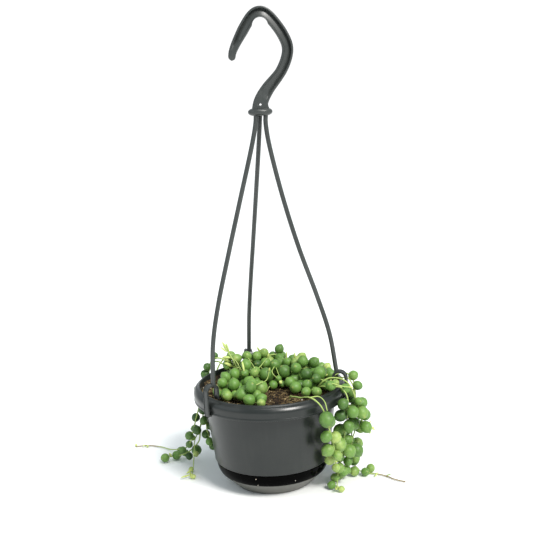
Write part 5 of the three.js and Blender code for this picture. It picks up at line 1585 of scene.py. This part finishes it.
# Youth runs from 0, deep green, to 1, nearly yellow. It grows towards the tip of a stem. Each stem
# also has a shift of its own, which is partly painted shade: the stems that hang down the shaded left
# side are made darker, and the others are moved a little lighter or darker.
YOUTH_AT_ROOT, YOUTH_GAINED, YOUTH_PLAY = 0.32, 0.30, 0.4
SHADE_AND_YOUTH_OF_STRAND = {
    "left_column": -0.30, "left_long": -0.24, "left_short": -0.24, "left_shoot": 0.12,
    "trail_back": 0.06, "trail_front": 0.08, "trail_mid": -0.04, "front_left_rim": 0.05,
    "centre_high": 0.08, "back_mid_high": 0.04, "right_edge": -0.05,
}
# Leaf nodes at the end of a stem that are dry, and how dry the root is.
DRY_TAIL = {"trail_back": 7, "left_long": 6}
ROOT_DRYNESS = 0.25
BUD_LIMIT = 1.4


class Plan:
    """Lines for stems and stalks and lone points for pearls, with what the tree needs to know."""

    NUMBERS = ("thickness", "dryness", "pearl_radius", "pearl_twist", "youth")
    VECTORS = ("pearl_out", "pearl_form")

    def __init__(self):
        self.points, self.edges = [], []
        self.values = {key: [] for key in self.NUMBERS}
        self.ways = {key: [] for key in self.VECTORS}

    def point(self, at, pearl_out=(0, 0, 1), pearl_form=(1, 1, 1), **values):
        self.points.append(tuple(float(c) * MM for c in at))
        for key, row in self.values.items():
            row.append(float(values.get(key, 0)))
        self.ways["pearl_out"].append(tuple(float(c) for c in pearl_out))
        self.ways["pearl_form"].append(tuple(float(c) for c in pearl_form))
        return len(self.points) - 1

    def line(self, points, thick, dry):
        """A stem or a stalk, with its half thickness in mm and its dryness at each point."""
        before = None
        for k, at in enumerate(points):
            here = self.point(at, thickness=thick[k] * MM, dryness=dry[k])
            if before is not None:
                self.edges.append((before, here))
            before = here

    def pearl(self, at, radius, way, twist, youth, form=(1, 1, 1), stalk_from=None):
        """A pearl, and the thin stalk that carries it."""
        way = np.array(way, float) / np.linalg.norm(way)
        self.point(at, way, form, pearl_radius=radius * MM, pearl_twist=twist, youth=youth)
        if stalk_from is not None:
            neck = np.array(at) - way * radius * form[2] * 0.97
            stem = np.array(stalk_from, float)
            middle = (stem + neck) / 2 + np.array([0, 0, -0.15])
            self.line([stem, middle, neck], (0.34, 0.27, 0.40), (0, 0, 0))

    def mesh(self, name):
        made = bpy.data.meshes.new(name)
        made.from_pydata(self.points, self.edges, [])
        for key, row in self.values.items():
            made.attributes.new(key, "FLOAT", "POINT").data.foreach_set("value", row)
        for key, row in self.ways.items():
            flat = [c for way in row for c in way]
            made.attributes.new(key, "FLOAT_VECTOR", "POINT").data.foreach_set("vector", flat)
        return made


def strand_plan(stem, numbers):
    """The plan of one settled stem and its pearls."""
    name = STRANDS[stem][0]
    start, end = stem_spans[stem]
    chain = plant.at[start:end]
    plan = Plan()
    amount = end - start
    thick_root, thick_tip = STEM_THICKNESS.get(name, USUAL_THICKNESS)
    below = [chain[0] + np.array([0, 0, -ROOT_RISE - depth]) for depth in (5, 2)]
    shares = [0, 0, *np.linspace(0, 1, amount)]
    thick = [thick_root + (thick_tip - thick_root) * share for share in shares]
    tail = DRY_TAIL.get(name, 0)
    dry = [min(1, max(0, (k - (amount - tail)) / 2.0)) if tail else 0.0 for k in range(amount)]
    plan.line([*below, *chain], thick, [ROOT_DRYNESS, ROOT_DRYNESS, *dry])
    own = [k for k in range(len(pearl_rows)) if pearl_rows[k][3] == stem]
    for k in own:
        root = plant.at[plant.node_of[k]]
        centre = plant.at[plant.nodes + k]
        share = (plant.node_of[k] - start) / max(1, amount - 1)
        radius = plant.radius[k] * PLUMPNESS
        youth = YOUTH_AT_ROOT + YOUTH_GAINED * share ** 2 + (next(numbers) - 0.5) * YOUTH_PLAY
        # The stem's own shift is added; for the stems at the shaded left it is painted shade.
        youth += SHADE_AND_YOUTH_OF_STRAND.get(name, 0)
        form = (0.94 + 0.08 * next(numbers), 0.94 + 0.08 * next(numbers), 0.95 + 0.1 * next(numbers))
        if plant.radius[k] < BUD_LIMIT:
            youth, form = 0.95, (0.8, 0.8, 1.3)
        plan.pearl(centre, radius, centre - root, next(numbers) * TURN, youth, form, root)
    return plan, chain


print("plans ready")

# %% Tips and shoots
# Where young leaves stand: the strand, then rows of foot, tip and half width, in mm, and youth.
YOUNG_LEAVES = {
    "centre_left": [((-17.8, -4.4, 84.1), (-18.9, 0, 90.2), 1.0, 0.85)],
    "back_mid_high": [((-5, 29, 86.5), (-8, 27, 92.5), 0.9, 0.85)],
    "centre_high": [
        ((13, 14, 85), (13.5, 13, 92), 0.9, 0.9), ((21, 11, 82), (24, 9, 88.5), 0.8, 0.9),
    ],
    "front_mid": [((12.5, -5, 75), (16.5, -7, 76.5), 1.0, 1.0)],
    "left_shoot": [
        ((-61.5, 6, 3.6), (-59.5, 3.5, 1.9), 0.9, 1.0), ((-60.5, 13, 4), (-65, 10, 2.2), 1.0, 0.95),
        ((-62, 5, 3.2), (-68.5, 2, 2.6), 0.9, 1.0),
    ],
    "trail_short": [
        ((68.5, -17, 43), (73.5, -17.5, 40.5), 0.7, 1.0),
        ((67, -17, 44.5), (71, -16, 46.5), 0.6, 0.95),
    ],
    "trail_back": [
        ((76, -5, 2.4), (73.5, -9.5, 1.6), 0.8, 0.95), ((82, -9, 1.8), (85.5, -7.5, 1.6), 0.5, 0.6),
    ],
    "left_long": [((-103, 71, 1.8), (-104.5, 68.8, 1.5), 0.6, 1.0)],
}
TIP_PEARLS = 3


def slim_leaf(plan, foot, tip, half, youth, flatness, numbers):
    """A pearl drawn out to a slim leaf that runs from foot to tip."""
    way = tip - foot
    form = (0.9, flatness, np.linalg.norm(way) / 2 / half)
    plan.pearl((foot + tip) / 2, half, way, next(numbers) * TURN, youth, form)


def young_growth(plan, name, chain, numbers):
    """The small leaves on one stem, and the tiny pearls at its tip."""
    for foot, tip, half, youth in YOUNG_LEAVES.get(name, ()):
        foot, tip = np.array(foot, float), np.array(tip, float)
        nearest = chain[np.argmin(lengths(chain - foot))]
        way = tip - foot
        slim_leaf(plan, foot, tip, half, youth, 0.72, numbers)
        stalk = [nearest, (nearest + foot) / 2, foot, foot + way * 0.15]
        plan.line(stalk, (0.4, 0.34, 0.30, 0.3), (0, 0, 0, 0))
    if name in DRY_TAIL:
        return
    end, before = chain[-1], chain[-2]
    along = (end - before) / np.linalg.norm(end - before)
    for k in range(TIP_PEARLS):
        aside = np.array([next(numbers) - 0.5, next(numbers) - 0.5, 0.35 + 0.5 * next(numbers)])
        way = along + aside * 1.5
        way /= np.linalg.norm(way)
        half = 0.75 + 0.35 * next(numbers)
        root = end - along * 1.3 * k
        at = root + way * (half * 1.9)
        at[2] = max(at[2], half + 0.2)
        twist = next(numbers) * TURN
        plan.pearl(at, half, way, twist, 0.8 + 0.2 * next(numbers), (0.85, 0.85, 1.45), root)


def grown_from_plan(name, plan, *nodes):
    """Grows a plan with pearls of 12 by 8 faces and stems that have a ring every 1.1 mm."""
    finishes = {"Stem finish": stem_skin, "Pearl finish": pearl_skin}
    sizes = {"Point": 0.15, "Around": 12, "Along": 8, "Step": 1.1 * MM}
    made = grown(name, plan.mesh(name), strand_tree, **sizes, **finishes)
    stands_for(made, "leaf", *nodes)
    return made


def grow_strand(stem):
    numbers = even_numbers(100 + stem)
    name = STRANDS[stem][0]
    plan, chain = strand_plan(stem, numbers)
    young_growth(plan, name, chain, numbers)
    return grown_from_plan("stem_" + name, plan, "strand_" + name)


stems = [grow_strand(stem) for stem in range(len(STRANDS))]
print(len(stems), "stems grown,", sum(len(made.data.polygons) for made in stems), "faces")

# %% [markdown]
# Over the mat of pearls run the thin pale stems of this year's growth, with slim leaves that aren't
# round yet. They lie on top of the older pearls, and they are what keeps the mat from looking like
# a heap of green beads. They use the same tree, from one small plan of their own.

# %% Pale new growth over the mat
# Half thickness and points of each stem, in mm.
PALE_STEMS = [
    (0.55, [(-29.5, 18, 92.9), (-26.8, 14, 89.2), (-24.9, 12, 86.6), (-21, 10, 83)]),
    (0.45, [(-28.1, 15, 89.1), (-23.7, 11, 87.5), (-20, 8, 84)]),
    (0.6, [(-26.3, 17.5, 81.5), (-22.8, 19, 79.8), (-19, 18, 77)]),
    (0.48, [(-12.4, -34, 81.6), (-8.7, -25.8, 81.1), (-5.9, -19.6, 80.2), (-3.1, -12, 78.6),
            (-1.2, -8.7, 79.8), (0, -7.2, 84)]),
    (0.42, [(-1.5, 8, 84.5), (2.2, -5.2, 83.1), (5.5, -6, 78.6), (7.2, -6, 76.3)]),
    (0.38, [(1.1, -8.3, 76.7), (-0.5, -8.6, 73), (-2.4, -9.4, 69.5)]),
    (0.42, [(-14.4, 13, 88.7), (-13.1, 9, 87.2), (-10.6, 1.8, 85.2)]),
    (0.42, [(-7.5, 0.2, 83.5), (-5.6, 6, 84.6), (-2.8, 15.6, 85.1), (-0.4, 20, 86)]),
    (0.4, [(4.9, 4.1, 83.8), (6.5, -0.6, 80.6), (8.3, -5.4, 76)]),
    (0.5, [(40, -33.2, 83), (43.5, -32.6, 81.6), (48.6, -30.9, 79), (54.4, -29.2, 77.4)]),
    (0.42, [(40.5, -33, 81.8), (45.7, -32, 80.3), (50.7, -29.6, 78.2), (56, -28.2, 76.6)]),
    (0.5, [(28.7, -37.5, 76), (33, -40.8, 75.6), (36.6, -45.5, 73.4), (37.8, -51, 68.9)]),
]
# Foot, tip and half width, in mm, and youth.
PALE_LEAVES = [
    ((-29.5, 18, 92.9), (-33.2, 20, 99.4), 1.25, 0.92),
    ((-28.7, 17.5, 92.6), (-30.6, 19, 98.8), 0.85, 0.8),
    ((-30.2, 18, 92.5), (-34.9, 20, 96), 0.8, 0.95),
    ((-28.1, 15, 89.1), (-33.6, 17, 88.8), 1.3, 0.9),
    ((-26.3, 17.5, 81.5), (-32.2, 15, 85.1), 1.4, 1.0),
    ((-2.4, -9, 70.5), (-4, -10, 68.9), 0.6, 0.7),
    ((0, -7.2, 84), (0.7, -7.6, 87), 0.8, 0.85),
    ((7.2, -6, 76.5), (8.6, -7.2, 74.6), 1.3, 1.0),
    ((-0.4, 20, 86), (0.5, 20, 89.4), 0.9, 0.85),
    ((19.7, 20, 84.6), (19.5, 20, 88.9), 0.95, 0.9),
    ((-10.6, 1.8, 85.2), (-9.6, 0.8, 82.4), 0.9, 0.85),
    ((54.4, -29.2, 77.4), (57.6, -28.6, 76.8), 0.6, 0.95),
]
# A stem's end that is lower than this, in mm, is in the soil.
IN_SOIL_BELOW = 71


def pale_plan():
    numbers = even_numbers(77)
    plan = Plan()
    feet = {foot for foot, *_ in PALE_LEAVES}
    for half, points in PALE_STEMS:
        points = list(points)
        for end in (0, -1):
            # An end that carries no leaf goes to the nearest stem or pearl, unless it's in the soil.
            if points[end] not in feet and points[end][2] > IN_SOIL_BELOW:
                points[end] = tuple(plant.at[np.argmin(lengths(plant.at - np.array(points[end])))])
        line = smooth_line(points, 2.0)
        thick = [half * (0.9 - 0.3 * k / len(line)) for k in range(len(line))]
        plan.line(line, thick, [0] * len(line))
    for foot, tip, half, youth in PALE_LEAVES:
        slim_leaf(plan, np.array(foot, float), np.array(tip, float), half, youth, 0.75, numbers)
    return plan


grown_from_plan("pale_growth", pale_plan())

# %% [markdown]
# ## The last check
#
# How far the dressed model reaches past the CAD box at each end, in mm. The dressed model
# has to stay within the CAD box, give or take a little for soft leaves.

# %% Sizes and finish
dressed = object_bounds()
for axis, label in enumerate("XYZ"):
    beyond = [round((dressed[end][axis] - cad_box[end][axis]) / MM, 1) for end in (0, 1)]
    print(label, beyond, "mm beyond the CAD box")
